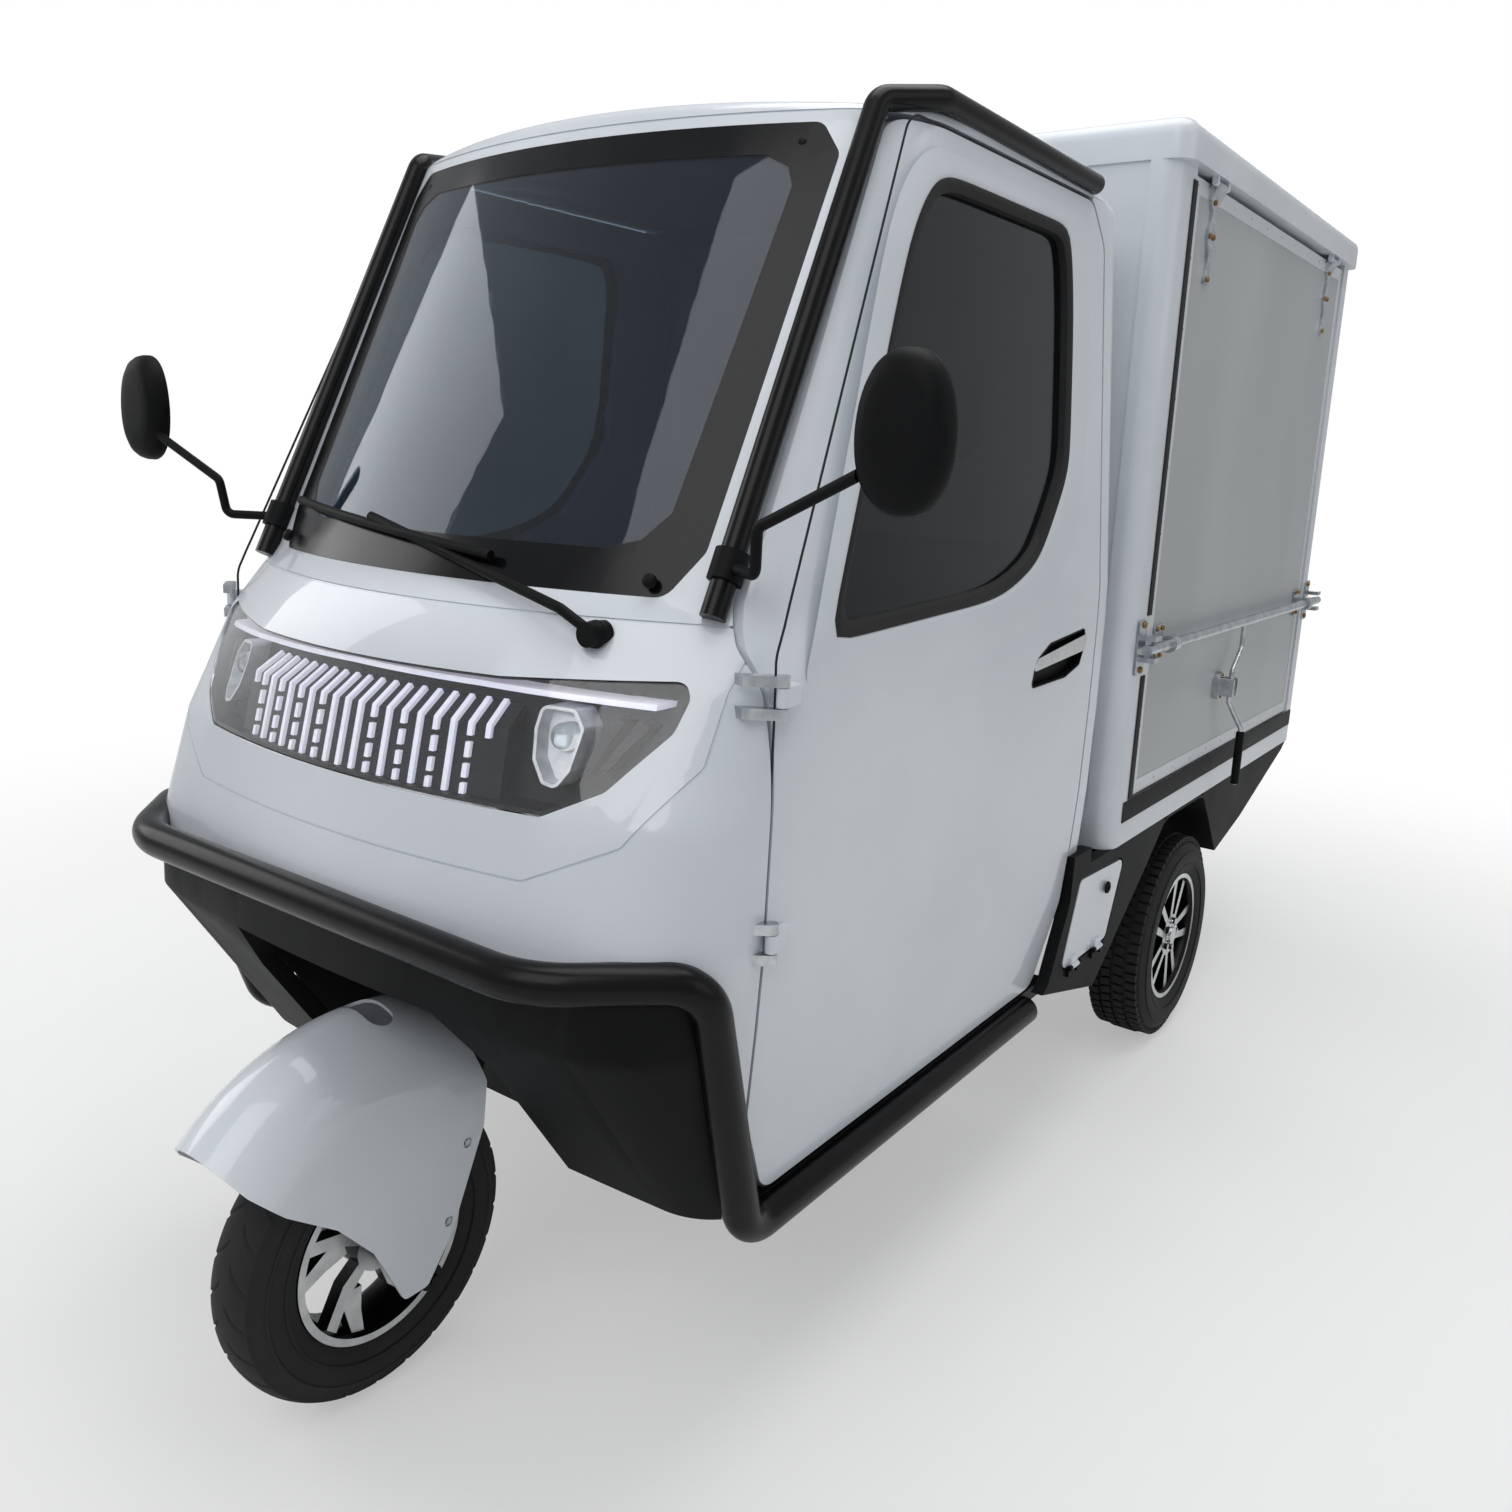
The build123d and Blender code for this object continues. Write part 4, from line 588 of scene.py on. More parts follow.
# Columns: distance behind the front axle, height
bead_outline = [(0.232, 1.092), (0.700, 1.075), (0.985, 1.130), (1.130, 1.300), (1.165, 1.700),
                (1.150, 1.815), (0.560, 1.815), (0.470, 1.735)]
window_outline = [(0.303, 1.168), (0.800, 1.190), (0.930, 1.240), (1.048, 1.385), (1.060, 1.700),
                  (1.040, 1.772), (0.590, 1.772), (0.525, 1.712)]
window_middle = (0.780, 1.455)
squareness = 22          # the higher, the tighter the rounded corners


def edge_reach(outline, grow, angle):
    """How far a rounded convex outline lies from the window's middle at this angle."""
    total = 0.0
    for (y0, z0), (y1, z1) in zip(outline, outline[1:] + outline[:1]):
        along = Vector((y1 - y0, z1 - z0)).normalized()
        out = Vector((along.y, -along.x))
        gap = out.dot(Vector((y0, z0)) - Vector(window_middle)) + grow
        way = out.dot(Vector((math.cos(angle), math.sin(angle))))
        if way > 0.0001:
            total += (way / gap) ** squareness
    return total ** (-1 / squareness)


def door_x(z):
    """Half width of the door's outer face at this height."""
    for (z0, x0), (z1, x1) in zip(door_skin, door_skin[1:]):
        if z <= z1:
            return x0 + (x1 - x0) * (z - z0) / (z1 - z0)
    return door_skin[-1][1]


def window_rings(sign, rings):
    """Rings round the window on the door's face, bridged one to the next.

    Each ring has its share of the bead's outline, growth past the window, and height.
    """
    mesh = bmesh.new()
    count = 160
    former = None
    for share, grow, height in rings:
        ring = bmesh.ops.create_circle(mesh, segments=count, radius=1)["verts"]
        for step, vert in enumerate(ring):
            angle = math.tau * step / count
            reach = (share * edge_reach(bead_outline, 0, angle)
                     + (1 - share) * edge_reach(window_outline, grow, angle))
            y = window_middle[0] + reach * math.cos(angle)
            z = window_middle[1] + reach * math.sin(angle)
            vert.co = (sign * (door_x(z) + height), at(y), z)
        edges = edges_of(ring)
        if former:
            bmesh.ops.bridge_loops(mesh, edges=former + edges)
        former = edges
    bmesh.ops.recalc_face_normals(mesh, faces=mesh.faces)
    middle = Vector((sign * 0.3, at(window_middle[0]), window_middle[1]))
    if sum((f.calc_center_median() - middle).dot(f.normal) * f.calc_area()
           for f in mesh.faces if abs(f.normal.x) > 0.8) < 0:
        bmesh.ops.reverse_faces(mesh, faces=mesh.faces)
    return mesh


# Columns: share of the bead's outline, growth past the window, height above the skin
bead = [(1.0, 0.016, -0.0006), (0.85, 0.016, 0.0004), (0.65, 0.016, 0.0016), (0.4, 0.016, 0.0030),
        (0.15, 0.016, 0.0042), (0.0, 0.016, 0.0046), (0.0, 0.010, 0.0040), (0.0, 0.0075, 0.0022),
        (0.0, 0.0070, -0.0010)]
gasket = [(0.0, 0.0085, 0.0004), (0.0, 0.0078, 0.0034), (0.0, 0.0050, 0.0046),
          (0.0, 0.0010, 0.0046), (0.0, -0.0060, 0.0030), (0.0, -0.0105, 0.0004),
          (0.0, -0.0120, -0.0110)]
for side, sign in both_sides:
    put(shape("window_bead_" + side, window_rings(sign, bead), 60), "cab_door_" + side,
        "white_paint", clear_white)
    put(shape("window_gasket_" + side, window_rings(sign, gasket), 50), "cab_door_" + side,
        "tyre_rubber", rubber)

# Door seals
# A soft black strip lies sunk in the gap all round each door, gripped on the frame's lip.
# Extruded rubber; it stays with the frame when the door swings out.
door_outline = [(0.188, 0.540), (0.188, 1.152), (0.519, 1.838), (1.150, 1.838), (1.205, 1.770),
                (1.212, 1.150), (1.205, 0.560), (1.125, 0.405), (0.245, 0.405)]
corner_radius = 0.040
seal_sunk = 0.0030       # below the door's skin
seal_off = 0.0009        # off the door's edge
seal_width = 0.0034
seal_thick = 0.0015
for side, sign in both_sides:
    mesh = bmesh.new()
    corners = [mesh.verts.new((0, at(y), z)) for y, z in door_outline]
    mesh.faces.new(corners)
    for vert in corners:
        ways = [(edge.other_vert(vert).co - vert.co).normalized() for edge in vert.link_edges]
        length = corner_radius * math.tan((math.pi - ways[0].angle(ways[1])) / 2)
        bmesh.ops.bevel(mesh, geom=[vert], offset=length, affect="VERTICES", segments=6,
                        profile=0.5, material=-1)
    bmesh.ops.subdivide_edges(mesh, edges=[e for e in mesh.edges if e.calc_length() > 0.05],
                              cuts=24)
    bmesh.ops.delete(mesh, geom=mesh.faces[:], context="FACES_ONLY")
    away = {}
    for vert in mesh.verts:
        first, second = (edge.other_vert(vert).co for edge in vert.link_edges)
        out = (second - first).cross(Vector((1, 0, 0))).normalized()
        facing = out.dot(vert.co - Vector((0, at(0.7), 1.1)))
        away[vert] = out if facing > 0 else -out
    for vert, out in away.items():
        vert.co += out * seal_off
    made = bmesh.ops.extrude_edge_only(mesh, edges=mesh.edges[:])["geom"]
    for vert in [v for v in made if isinstance(v, bmesh.types.BMVert)]:
        inner = next(e.other_vert(vert) for e in vert.link_edges if e.other_vert(vert) in away)
        vert.co += away[inner] * seal_width
    for vert in mesh.verts:
        vert.co.x = sign * (door_x(vert.co.z) - seal_sunk)
    bmesh.ops.recalc_face_normals(mesh, faces=mesh.faces)
    bmesh.ops.solidify(mesh, geom=mesh.faces[:], thickness=seal_thick)
    bmesh.ops.recalc_face_normals(mesh, faces=mesh.faces)
    put(shape("door_seal_" + side, mesh, 40), "body", "tyre_rubber", rubber)

# Glass
# Laminated windscreen, tempered door panes and rear pane, tinted grey-green.
# Clear gloss; the windscreen carries a fired black ceramic border and four screws.

# the tint cools and darkens what lies behind; the faces stay glossy
tinted, tree, shader = material(
    "tinted_laminated_glass", Base_Color=linear("#7C8CA2"), Roughness=0.02, IOR=1.42,
    Transmission_Weight=1.0, Specular_IOR_Level=0.3)
mottle(tree, shader, 300 * mm, "#77879E", "#8191A6")
dress("cab_glass", tinted, degrees=30)
# a deeper tint that nearly hides the cab's inside
smoked, tree, shader = material(
    "smoked_tempered_glass", Base_Color=linear("#464D50"), Roughness=0.02, IOR=1.35,
    Transmission_Weight=1.0, Specular_IOR_Level=0.25)
mottle(tree, shader, 300 * mm, "#42494C", "#4A5154")
dress("door_glass_left", smoked, degrees=30)
dress("door_glass_right", smoked, degrees=30)
# enamel fired onto the glass, smooth and black with a low gloss
fired_border, tree, shader = material(
    "fired_ceramic_enamel", Base_Color=linear("#08090B"), Roughness=0.18,
    Specular_IOR_Level=0.25)
mottle(tree, shader, 60 * mm, "#07080A", "#0B0C0F", (0.14, 0.24))
# Columns: across, height of the border's inner edge
clear_zone = [(0, 1.262), (0.300, 1.262), (0.345, 1.275), (0.372, 1.310), (0.386, 1.740),
              (0.372, 1.768), (0.335, 1.785), (0, 1.785)]
clear_zone += [(-x, z) for x, z in reversed(clear_zone[1:-1])]
screen_out = Vector((0, -0.9, 0.42))     # the way the windscreen faces
border_lift = 0.0005
mesh = merged("cab_glass")
bmesh.ops.delete(mesh, geom=[f for f in mesh.faces if f.normal.y > -0.3
                             or f.calc_center_median().y > at(0.62)], context="FACES")
cuts = []
for (x0, z0), (x1, z1) in zip(clear_zone, clear_zone[1:] + clear_zone[:1]):
    cuts.append((Vector((x0, 0, z0)), Vector((z1 - z0, 0, x0 - x1)).normalized()))
for spot, out in cuts:
    bmesh.ops.bisect_plane(mesh, geom=mesh.verts[:] + mesh.edges[:] + mesh.faces[:],
                           plane_co=spot, plane_no=out, dist=0.00001)
inside = []
for face in mesh.faces:
    middle = face.calc_center_median()
    if all((middle - spot).dot(out) < 0.00002 for spot, out in cuts):
        inside.append(face)
bmesh.ops.delete(mesh, geom=inside, context="FACES")
for vert in mesh.verts:
    vert.co += screen_out * border_lift
put(shape("windscreen_border", mesh, 60), "body", slots["cab_glass"], fired_border)
glass_screws = bmesh.new()
for side in (-1, 1):
    for x, y, z in ((0.381, 0.163, 1.228), (0.378, 0.458, 1.801)):
        turned(glass_screws, [(0, 0.0055), (0.005, 0.0052), (0.0085, 0.003), (0.0095, 0.0),
                              (0.0095, -0.004)],
               (side * x, at(y) - 0.001, z), (side * 0.12, -0.9, 0.42), 20)
put(shape("windscreen_screws", glass_screws, 40), "body", "black_plastic", moulded_black)

# Lamp panel
# A clear cover over a gloss black tray, light guides along its edges and two projectors.
# The guides are frosted acrylic; the bowls are vacuum-metallised behind clear lenses.

# a gloss moulding, seen through the cover
lamp_black, tree, shader = material(
    "gloss_black_abs", Base_Color=linear("#0C0E12"), Roughness=0.3,
    Specular_IOR_Level=0.2)
mottle(tree, shader, 50 * mm, "#0A0C10", "#10131A", (0.24, 0.36))
dress("light_panel", lamp_black, degrees=30)
# clear and glossy; light passes many of its faces, so it has nearly no tint
lamp_cover, tree, shader = material(
    "clear_polycarbonate", Base_Color=linear("#F6F7F9"), Roughness=0.02, IOR=1.42,
    Transmission_Weight=1.0, Specular_IOR_Level=0.3)
mottle(tree, shader, 200 * mm, "#F3F5F8", "#F9FAFB")
dress("lamp_lens", lamp_cover, degrees=30)
# frosted acrylic spreads the light inside it; the faint glow all over is a painted glow, since the
# lamp is not lit
guide_with_painted_glow, tree, shader = material(
    "frosted_acrylic_guide_painted_glow", Base_Color=linear("#F1F0F8"), Roughness=0.5,
    # the emission below is the painted glow
    Subsurface_Weight=0.2, Subsurface_Scale=0.01, Emission_Color=linear("#E4E2F6"),
    Emission_Strength=0.35)
mottle(tree, shader, 30 * mm, "#EDECF6", "#F5F4FA", (0.42, 0.58))
grain(tree, shader, 1.2 * mm, 0.06 * mm)
dress("light_ribs", guide_with_painted_glow, degrees=30)
# a thin metal vapour coat on a moulding: bright and slightly hazy
metallised, tree, shader = material(
    "vacuum_metallised_bowl", Base_Color=linear("#DDE0E4"), Metallic=0.5, Roughness=0.3)
mottle(tree, shader, 14 * mm, "#D2D6DB", "#E6E8EB", (0.24, 0.38))
dress("headlamp_bowls", metallised, degrees=30)
# ground and polished glass, which bends what lies behind it
clear_lens, tree, shader = material(
    "ground_projector_glass", Base_Color=linear("#EDF1F3"), Roughness=0.01, IOR=1.52,
    Transmission_Weight=1.0)
mottle(tree, shader, 40 * mm, "#E9EEF1", "#F1F4F5")
dress("headlamp_lenses", clear_lens, degrees=50)

# Mirrors and wiper
# Moulded black housings on bent steel arms; the wiper is stamped and painted black.
# All of it is matte; the mirror glass looks to the rear and the pivot has a dome cap.
mirror_across = 0.745
mirror_height = 1.418
egg = 2.35               # power of the housing's oval: 2 is an ellipse, more is squarer


def on_housing(face):
    """Whether a face is part of the CAD's plain housing, and not of the arm behind it."""
    if any(abs(vert.co.x) <= 0.6865 or vert.co.z <= 1.329 for vert in face.verts):
        return False
    middle = face.calc_center_median()
    return (abs(face.normal.y) > 0.99 or middle.y > at(0.13)
            or abs(abs(middle.x) - mirror_across) > 0.03 or abs(middle.z - mirror_height) > 0.05)


mesh = merged("mirrors")
bmesh.ops.delete(mesh, geom=[face for face in mesh.faces if on_housing(face)], context="FACES")
for sign in (-1, 1):
    # an egg-shaped housing: rings across the depth, each a share of the full outline
    former = None
    for behind, share in ((0.1496, 0.93), (0.1500, 0.985), (0.1480, 1.0), (0.1400, 0.995),
                          (0.1320, 0.965), (0.1245, 0.90), (0.1195, 0.80), (0.1170, 0.66),
                          (0.1162, 0.40)):
        ring = bmesh.ops.create_circle(mesh, segments=72, radius=1)["verts"]
        for step, vert in enumerate(ring):
            angle = math.tau * step / 72
            across, up = math.cos(angle), math.sin(angle)
            reach = (abs(across / 0.0575) ** egg + abs(up / 0.0875) ** egg) ** (-1 / egg)
            narrow = 1 - 0.06 * max(0.0, up)
            vert.co = (sign * mirror_across + share * reach * across * narrow, at(behind),
                       mirror_height + share * reach * up)
        edges = edges_of(ring)
        if former:
            bmesh.ops.bridge_loops(mesh, edges=former + edges)
        else:
            bmesh.ops.contextual_create(mesh, geom=edges)
        former = edges
    bmesh.ops.contextual_create(mesh, geom=former)
bmesh.ops.recalc_face_normals(mesh, faces=mesh.faces)
piece = put(shape("mirror_housings", mesh, 40), "body", slots["mirrors"], moulded_black)
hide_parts("mirrors")
dress("wiper", moulded_black, degrees=40)
# silver behind glass, a clean mirror
silvered, tree, shader = material(
    "silvered_mirror_glass", Base_Color=linear("#C6CBCE"), Metallic=1.0, Roughness=0.03)
mottle(tree, shader, 90 * mm, "#C2C8CB", "#CBD0D2", (0.02, 0.05))
for side, sign in both_sides:
    mesh = bmesh.new()
    turned(mesh, [(0, 0.0007), (0.049, 0.0007), (0.050, 0.0)], (0, 0, 0), (0, 1, 0), 72)
    bmesh.ops.scale(mesh, verts=mesh.verts, vec=(1, 1, 1.56))
    bmesh.ops.translate(mesh, verts=mesh.verts,
                        vec=(sign * mirror_across, at(0.1501), mirror_height))
    put(shape("mirror_glass_" + side, mesh, 30), "body", "clear_lens", silvered)
cap = bmesh.new()
turned(cap, [(0, 0.013), (0.009, 0.0115), (0.0155, 0.007), (0.018, 0.0), (0.018, -0.006)],
       (0.350, at(0.097), 1.163), (0, -1, 0.25), 28)
put(shape("wiper_pivot_cap", cap, 60), "body", "black_plastic", moulded_black)

# Cargo box
# Folded sheet frame, walls and doors sprayed a cool white; the floor is bare rolled sheet.
# Flaps and doors are composite panels held in aluminium edge profiles by blind rivets.

# a thin clear coat gives it a soft gloss; the sheet under it is slightly wavy
box_white, tree, shader = material(
    "sprayed_sheet_steel", Base_Color=linear("#D4D9DF"), Roughness=0.34, Coat_Weight=0.4,
    Coat_Roughness=0.12)
mottle(tree, shader, 380 * mm, "#CFD4DA", "#D9DEE4", (0.3, 0.42))
grain(tree, shader, 14 * mm, 0.03 * mm)
# coated as flat coil: an even grey satin with faint roller streaks; the grey is partly the panel's
# own tone and partly painted shade, darker than the panel is under plain light
panel_grey_and_painted_shade, tree, shader = material(
    "coil_coated_panel_with_painted_shade", Base_Color=linear("#B2B5B6"), Roughness=0.38)
mottle(tree, shader, 500 * mm, "#ACAFB0", "#B8BBBC", (0.34, 0.46), 2.0, (1, 1, 0.4))
grain(tree, shader, 40 * mm, 0.06 * mm)
# anodising leaves the profile pale and silky along its length
edge_metal, tree, shader = material(
    "anodised_aluminium_profile", Base_Color=linear("#D6D9DC"), Metallic=0.5, Roughness=0.42)
mottle(tree, shader, 120 * mm, "#D0D3D6", "#DCDFE2", (0.36, 0.5), 2.0, (1, 0.1, 0.1))
for node in ("cargo_frame", "cargo_front_wall", "cargo_roof"):
    dress(node, box_white)
flap_face = 0.571        # X of the flaps' outer face
door_face = at(2.874)    # Y of the rear doors' outer face
panel_sunk = 0.0015      # below the profile
panel_low, panel_high = 0.716, 1.942
for node, axis, sign in (("cargo_flap_left", 0, 1), ("cargo_flap_right", 0, -1),
                         ("rear_door_left", 1, 1), ("rear_door_right", 1, 1)):
    # the sunk middle is the panel; what stands above it is the profile
    mesh = merged(node)
    panel_level = (flap_face if axis == 0 else door_face) - panel_sunk
    for face in mesh.faces:
        level = face.calc_center_median()[axis] * sign
        if abs(level - panel_level) > 0.0004 or abs(face.normal[axis]) < 0.9:
            face.material_index = 1
    piece = put(shape("dressed_" + node, mesh, 30), home[node], slots[node], panel_grey_and_painted_shade,
                edge_metal)
    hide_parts(node)


def rivet_row(mesh, low, high, fixed, axis, face, away):
    """Blind rivets along the middle of the profile that runs round a panel.

    Low and high are the panel's corners across and up; fixed is the profile's half width.
    """
    pitch = 0.13
    spots = set()
    for first, second, turn in ((low[0], high[0], 0), (low[1], high[1], 1)):
        span = second - first - 2 * fixed
        count = max(1, round(span / pitch))
        for step in range(count + 1):
            along = first + fixed + span * step / count
            for edge in (low[1 - turn] + fixed, high[1 - turn] - fixed):
                spots.add((round(along, 4), round(edge, 4)) if turn == 0
                          else (round(edge, 4), round(along, 4)))
    for across, up in sorted(spots):
        spot = (face, across, up) if axis == 0 else (across, face, up)
        turned(mesh, [(0, 0.0011), (0.0016, 0.0010), (0.0030, 0.0006), (0.0033, -0.0002)], spot,
               away, 10)


for side, sign in both_sides:
    mesh = bmesh.new()
    rivet_row(mesh, (at(1.497), panel_low), (at(2.782), panel_high), 0.015, 0, sign * flap_face,
              (sign, 0, 0))
    put(shape("flap_rivets_" + side, mesh, 50), "flap_" + side, "zinc_steel", zinc)
    mesh = bmesh.new()
    low, high = sorted((sign * 0.003, sign * 0.528))
    rivet_row(mesh, (low, panel_low), (high, panel_high), 0.015, 1, door_face, (0, 1, 0))
    put(shape("door_rivets_" + side, mesh, 50), "rear_leaf_" + side, "zinc_steel", zinc)
# bare sheet, scuffed dull in patches
floor_plate, tree, shader = material(
    "rolled_floor_sheet", Base_Color=linear("#5A5D60"), Roughness=0.5, Metallic=0.6)
mottle(tree, shader, 90 * mm, "#525558", "#65686B", (0.42, 0.6))
grain(tree, shader, 6 * mm, 0.2 * mm)
dress("cargo_floor", floor_plate)

# Locks and hinges of the box
# Strap hinges, bearings and bars of zinc-plated steel; bolts with a yellow passivation.
# The handles end in black dipped vinyl grips; thin black strips lie on the frame below and ahead of
# each flap.
for node in ("lock_keepers", "flap_fittings_left", "flap_fittings_right", "lock_bar_left",
             "lock_bar_right", "rear_lock_rod_left", "rear_lock_rod_right"):
    dress(node, zinc)
# passivation gives the zinc a brown-gold tint that varies from bolt to bolt
passivated, tree, shader = material(
    "yellow_passivated_steel", Base_Color=linear("#9A7B4F"), Metallic=1.0, Roughness=0.38)
mottle(tree, shader, 6 * mm, "#8C7048", "#A98C5C", (0.3, 0.46))
bar_height = 1.038       # of the lock bars
for side, sign in both_sides:
    mesh = bmesh.new()
    for behind in (1.451, 2.832):
        for up in (-0.046, 0.046):
            screw(mesh, (sign * 0.5805, at(behind), bar_height + up), (sign, 0, 0), 0.0055)
    put(shape("keeper_bolts_" + side, mesh), "body", "zinc_steel", passivated)
    mesh = bmesh.new()
    for behind in (1.612, 2.618):
        for across, down in ((0, 0.030), (-0.011, 0.094), (0.011, 0.094), (0, 0.175)):
            screw(mesh, (sign * 0.5775, at(behind + across), panel_high - down), (sign, 0, 0),
                  0.0045)
    for behind in (1.557, 2.722):
        for across in (-0.016, 0.016):
            for up in (-0.029, 0.029):
                screw(mesh, (sign * 0.5775, at(behind + across), bar_height + up),
                      (sign, 0, 0), 0.0045)
    for up in (-0.027, 0.027):
        screw(mesh, (sign * 0.5842, at(2.040), 0.885 + up), (sign, 0, 0), 0.0035)
    put(shape("fitting_bolts_" + side, mesh), "flap_" + side, "zinc_steel", passivated)
    mesh = bmesh.new()
    turned(mesh, [(0, 0.0), (0.0085, 0.001), (0.0100, 0.004), (0.0100, 0.128), (0.0085, 0.132),
                  (0.0062, 0.133)], (sign * 0.633, at(2.0740), 0.6425), (0, -0.014, 1), 20)
    put(shape("handle_grip_" + side, mesh, 40), home["lock_bar_" + side], "black_plastic",
        moulded_black)
    # thin black strips on the frame, below and ahead of the flap
    mesh = bmesh.new()
    low, high = sorted((sign * 0.5752, sign * 0.5775))
    block(mesh, (low, at(1.446), 0.668), (high, at(2.830), 0.712), 0.0006)
    block(mesh, (low, at(1.470), 0.714), (high, at(1.4935), 0.976), 0.0006)
    block(mesh, (low, at(1.470), 1.100), (high, at(1.4935), 1.930), 0.0006)
    put(shape("dark_strips_" + side, mesh), "body", "tyre_rubber", rubber)

# Lower skirts
# Moulded black skirts below the box, with white hatch lids closed by a round cam lock.
# The skirts are matte polypropylene; the lids are sprayed like the cab.
dress("cargo_skirts", moulded_black)
dress("hatch_lid_left", clear_white)
dress("hatch_lid_right", clear_white)
for side, sign in both_sides:
    mesh = bmesh.new()
    turned(mesh, [(0, 0.0012), (0.0055, 0.0012), (0.0062, 0.0030), (0.0095, 0.0042),
                  (0.0122, 0.0030), (0.0130, -0.001)], (sign * 0.577, at(1.398), 0.542),
           (sign, 0, 0), 28)
    block(mesh, (sign * 0.5785 - 0.0009, at(1.398) - 0.0008, 0.5385),
          (sign * 0.5785 + 0.0009, at(1.398) + 0.0008, 0.5455))
    put(shape("cam_lock_" + side, mesh, 40), home["hatch_lid_" + side], "black_plastic",
        moulded_black)

# Tail lamps
# Red lenses on the lower rail, each with an amber end and a black bezel.
# Injection-moulded acrylic with fine upright flutes, nothing lit behind.

# a polished mould makes it glossy; the flutes break up the light
red_lens, tree, shader = material(
    "red_moulded_acrylic", Base_Color=linear("#9E1416"), Roughness=0.12, Coat_Weight=1.0)
mottle(tree, shader, 26 * mm, "#931014", "#A91A1A", (0.1, 0.2))
flute_pitch = 6 * mm
flutes = add(tree, "ShaderNodeTexWave", {"Scale": 1 / flute_pitch / 6.28, "Distortion": 0.0},
             {"Vector": add(tree, "ShaderNodeTexCoord").outputs["Object"]},
             wave_type="BANDS", bands_direction="X")
bump = add(tree, "ShaderNodeBump", {"Strength": 0.6, "Distance": 0.0006},
           {"Height": flutes.outputs["Fac"]})
tree.links.new(bump.outputs["Normal"], shader.inputs["Normal"])
dress("tail_lamps", red_lens)
# the same acrylic in amber, without flutes
amber, tree, shader = material(
    "amber_moulded_acrylic", Base_Color=linear("#C46A14"), Roughness=0.12, Coat_Weight=1.0)
mottle(tree, shader, 26 * mm, "#BC6412", "#CC731C", (0.1, 0.2))
bezels = bmesh.new()
indicators = bmesh.new()
for side in (-1, 1):
    middle = side * 0.44
    # Columns: from across, from height, to across, to height
    for x0, z0, x1, z1 in ((-0.077, 0.627, 0.077, 0.6315), (-0.077, 0.6885, 0.077, 0.693),
                           (-0.077, 0.627, -0.0735, 0.693), (0.0735, 0.627, 0.077, 0.693)):
        block(bezels, (middle + x0, at(2.876), z0), (middle + x1, at(2.8925), z1), 0.001)
    inner, outer = sorted((side * 0.478, side * 0.511))
    block(indicators, (inner, at(2.880), 0.634), (outer, at(2.8955), 0.686), 0.002)
put(shape("tail_lamp_bezels", bezels), "body", "black_plastic", moulded_black)
put(shape("tail_indicators", indicators), "body", slots["tail_lamps"], amber)

# Studio
# A pale floor that runs to the horizon, soft lamps and the photograph's camera.
# The white behind is seen in full by the camera and through glass, in gloss only in part.
stage_floor = bmesh.new()
bmesh.ops.create_grid(stage_floor, x_segments=1, y_segments=1, size=30)
floor = shape("studio_floor", stage_floor)
bpy.context.scene.collection.objects.link(floor)
# flat paint that takes soft shadows and shows no gloss
pale, tree, shader = material("pale_floor_paint", Base_Color=linear("#F1F1EF"), Roughness=0.9,
                              Specular_IOR_Level=0.1)
mottle(tree, shader, 900 * mm, "#EFEFED", "#F3F3F1")


def background_rays(tree):
    """How much a ray sees of the plain background: camera and glass all, gloss a part."""
    gloss_share = 0.22
    path = add(tree, "ShaderNodeLightPath")
    gloss = add(tree, "ShaderNodeMath", {1: gloss_share}, {0: path.outputs["Is Glossy Ray"]},
                operation="MULTIPLY")
    pair = add(tree, "ShaderNodeMath", {}, {0: path.outputs["Is Camera Ray"],
                                            1: gloss.outputs[0]}, operation="MAXIMUM")
    return add(tree, "ShaderNodeMath", {}, {0: pair.outputs[0],
                                            1: path.outputs["Is Transmission Ray"]},
               operation="MAXIMUM").outputs[0]


# the floor fades to the white from this far round the vehicle
fade_from, fade_to = 1.6, 4.2
spot = add(tree, "ShaderNodeTexCoord")
away = add(tree, "ShaderNodeVectorMath", {}, {0: spot.outputs["Object"]}, operation="LENGTH")
far = add(tree, "ShaderNodeMapRange", {"From Min": fade_from, "From Max": fade_to, "To Min": 0.4},
          {"Value": away.outputs["Value"]}, interpolation_type="SMOOTHSTEP")
share = add(tree, "ShaderNodeMath", {}, {0: far.outputs["Result"], 1: background_rays(tree)},
            operation="MULTIPLY")
glow = add(tree, "ShaderNodeEmission", {"Color": (1, 1, 1, 1), "Strength": 1.0})
mixed = add(tree, "ShaderNodeMixShader", {}, {0: share.outputs[0], 1: shader.outputs[0],
                                              2: glow.outputs[0]})
tree.links.new(mixed.outputs[0], tree.nodes["Material Output"].inputs["Surface"])
floor.data.materials.append(pale)

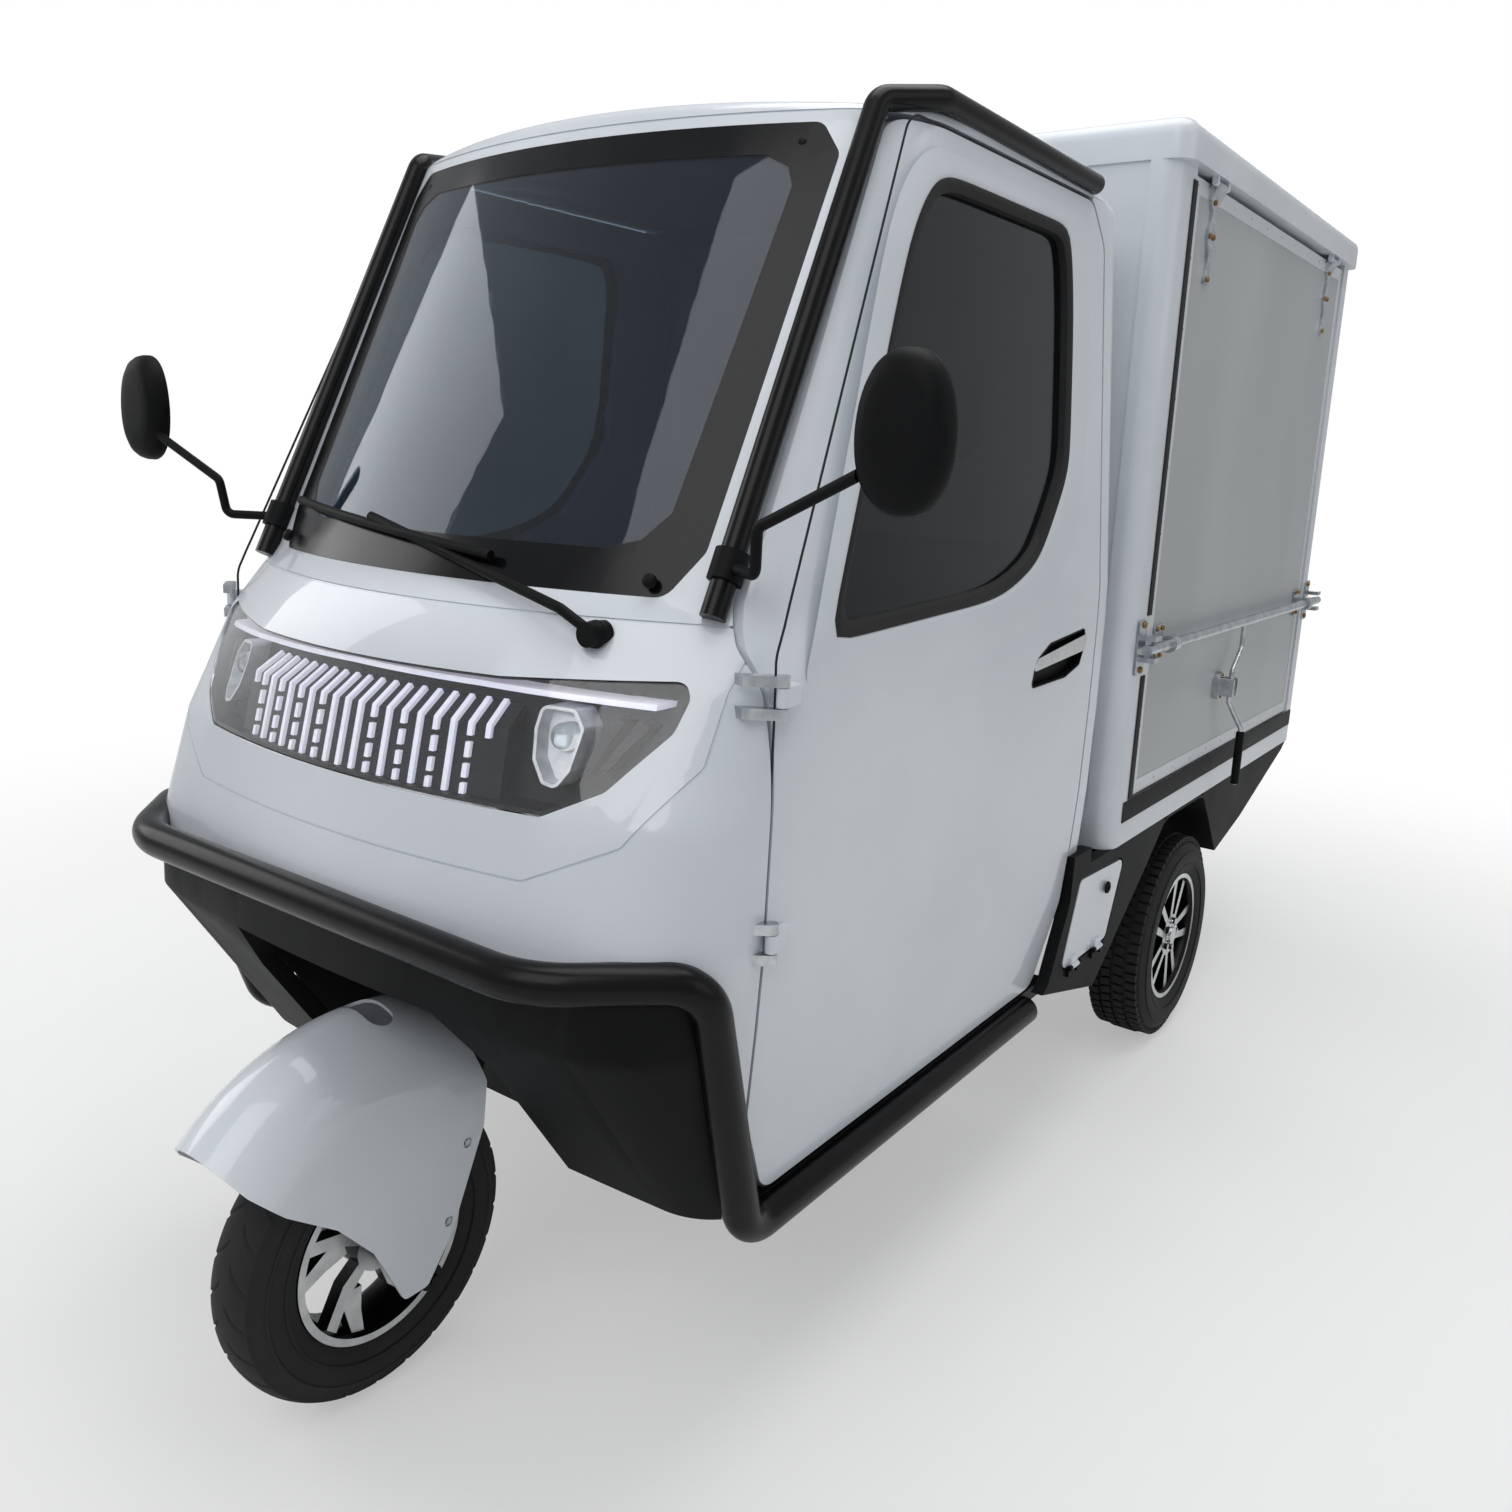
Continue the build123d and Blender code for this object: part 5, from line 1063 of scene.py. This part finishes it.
world = bpy.data.worlds.new("studio")
bpy.context.scene.world = world
world.use_nodes = True
tree = world.node_tree
sky = tree.nodes["Background"]
sky.inputs["Color"].default_value = linear("#E6EAEF")
sky.inputs["Strength"].default_value = 0.36
seen = add(tree, "ShaderNodeBackground", {"Color": (1, 1, 1, 1), "Strength": 1.0})
white = add(tree, "ShaderNodeMixShader", {},
            {0: background_rays(tree), 1: sky.outputs[0], 2: seen.outputs[0]})
tree.links.new(white.outputs[0], tree.nodes["World Output"].inputs["Surface"])

# Columns: name, place, aimed at, size, watts
for name, place, aim, size, watts in (
        ("key", (1.0, -5.6, 5.8), (0, -0.6, 0.9), 4.6, 138),
        ("side", (6.0, 0.6, 3.6), (0, 0.2, 1.0), 3.6, 26),
        ("top", (0.4, 0.2, 5.6), (0, 0.2, 0), 4.0, 135),
        ("far", (-4.8, -2.6, 3.2), (0, 0, 1.0), 3.0, 60),
        ("rear", (-1.5, 6.4, 3.4), (0, 1.0, 1.0), 3.0, 60)):
    lamp = bpy.data.lights.new(name, "AREA")
    lamp.shape = "SQUARE"
    lamp.size = size
    lamp.energy = watts
    holder = bpy.data.objects.new(name, lamp)
    holder.location = place
    holder.rotation_euler = (Vector(aim) - Vector(place)).to_track_quat("-Z", "Y").to_euler()
    bpy.context.scene.collection.objects.link(holder)

photo_side = 1512        # pixels
focal_length = 1247.6    # in pixels of the photograph
axis_x, axis_y = 765.9, 708              # the pixel that the lens looks at
lens = bpy.data.cameras.new("photo_camera")
lens.sensor_width = 36
lens.lens = focal_length * lens.sensor_width / photo_side
lens.shift_x = (photo_side / 2 - axis_x) / photo_side
lens.shift_y = (axis_y - photo_side / 2) / photo_side
camera = bpy.data.objects.new("photo_camera", lens)
azimuth, elevation, roll = (math.radians(a) for a in (35.3, 11.7, 2.6))
back = Vector((math.sin(azimuth) * math.cos(elevation), -math.cos(azimuth) * math.cos(elevation),
               math.sin(elevation)))
right = Vector((0, 0, 1)).cross(back).normalized()
up = back.cross(right)
side_axis = right * math.cos(roll) + up * math.sin(roll)
up_axis = up * math.cos(roll) - right * math.sin(roll)
turn = Matrix((side_axis, up_axis, back)).transposed().to_4x4()
camera.matrix_world = Matrix.Translation((1.4067, at(-1.0214), 1.395)) @ turn
bpy.context.scene.collection.objects.link(camera)
bpy.context.scene.camera = camera
bpy.context.scene.view_settings.view_transform = "Standard"
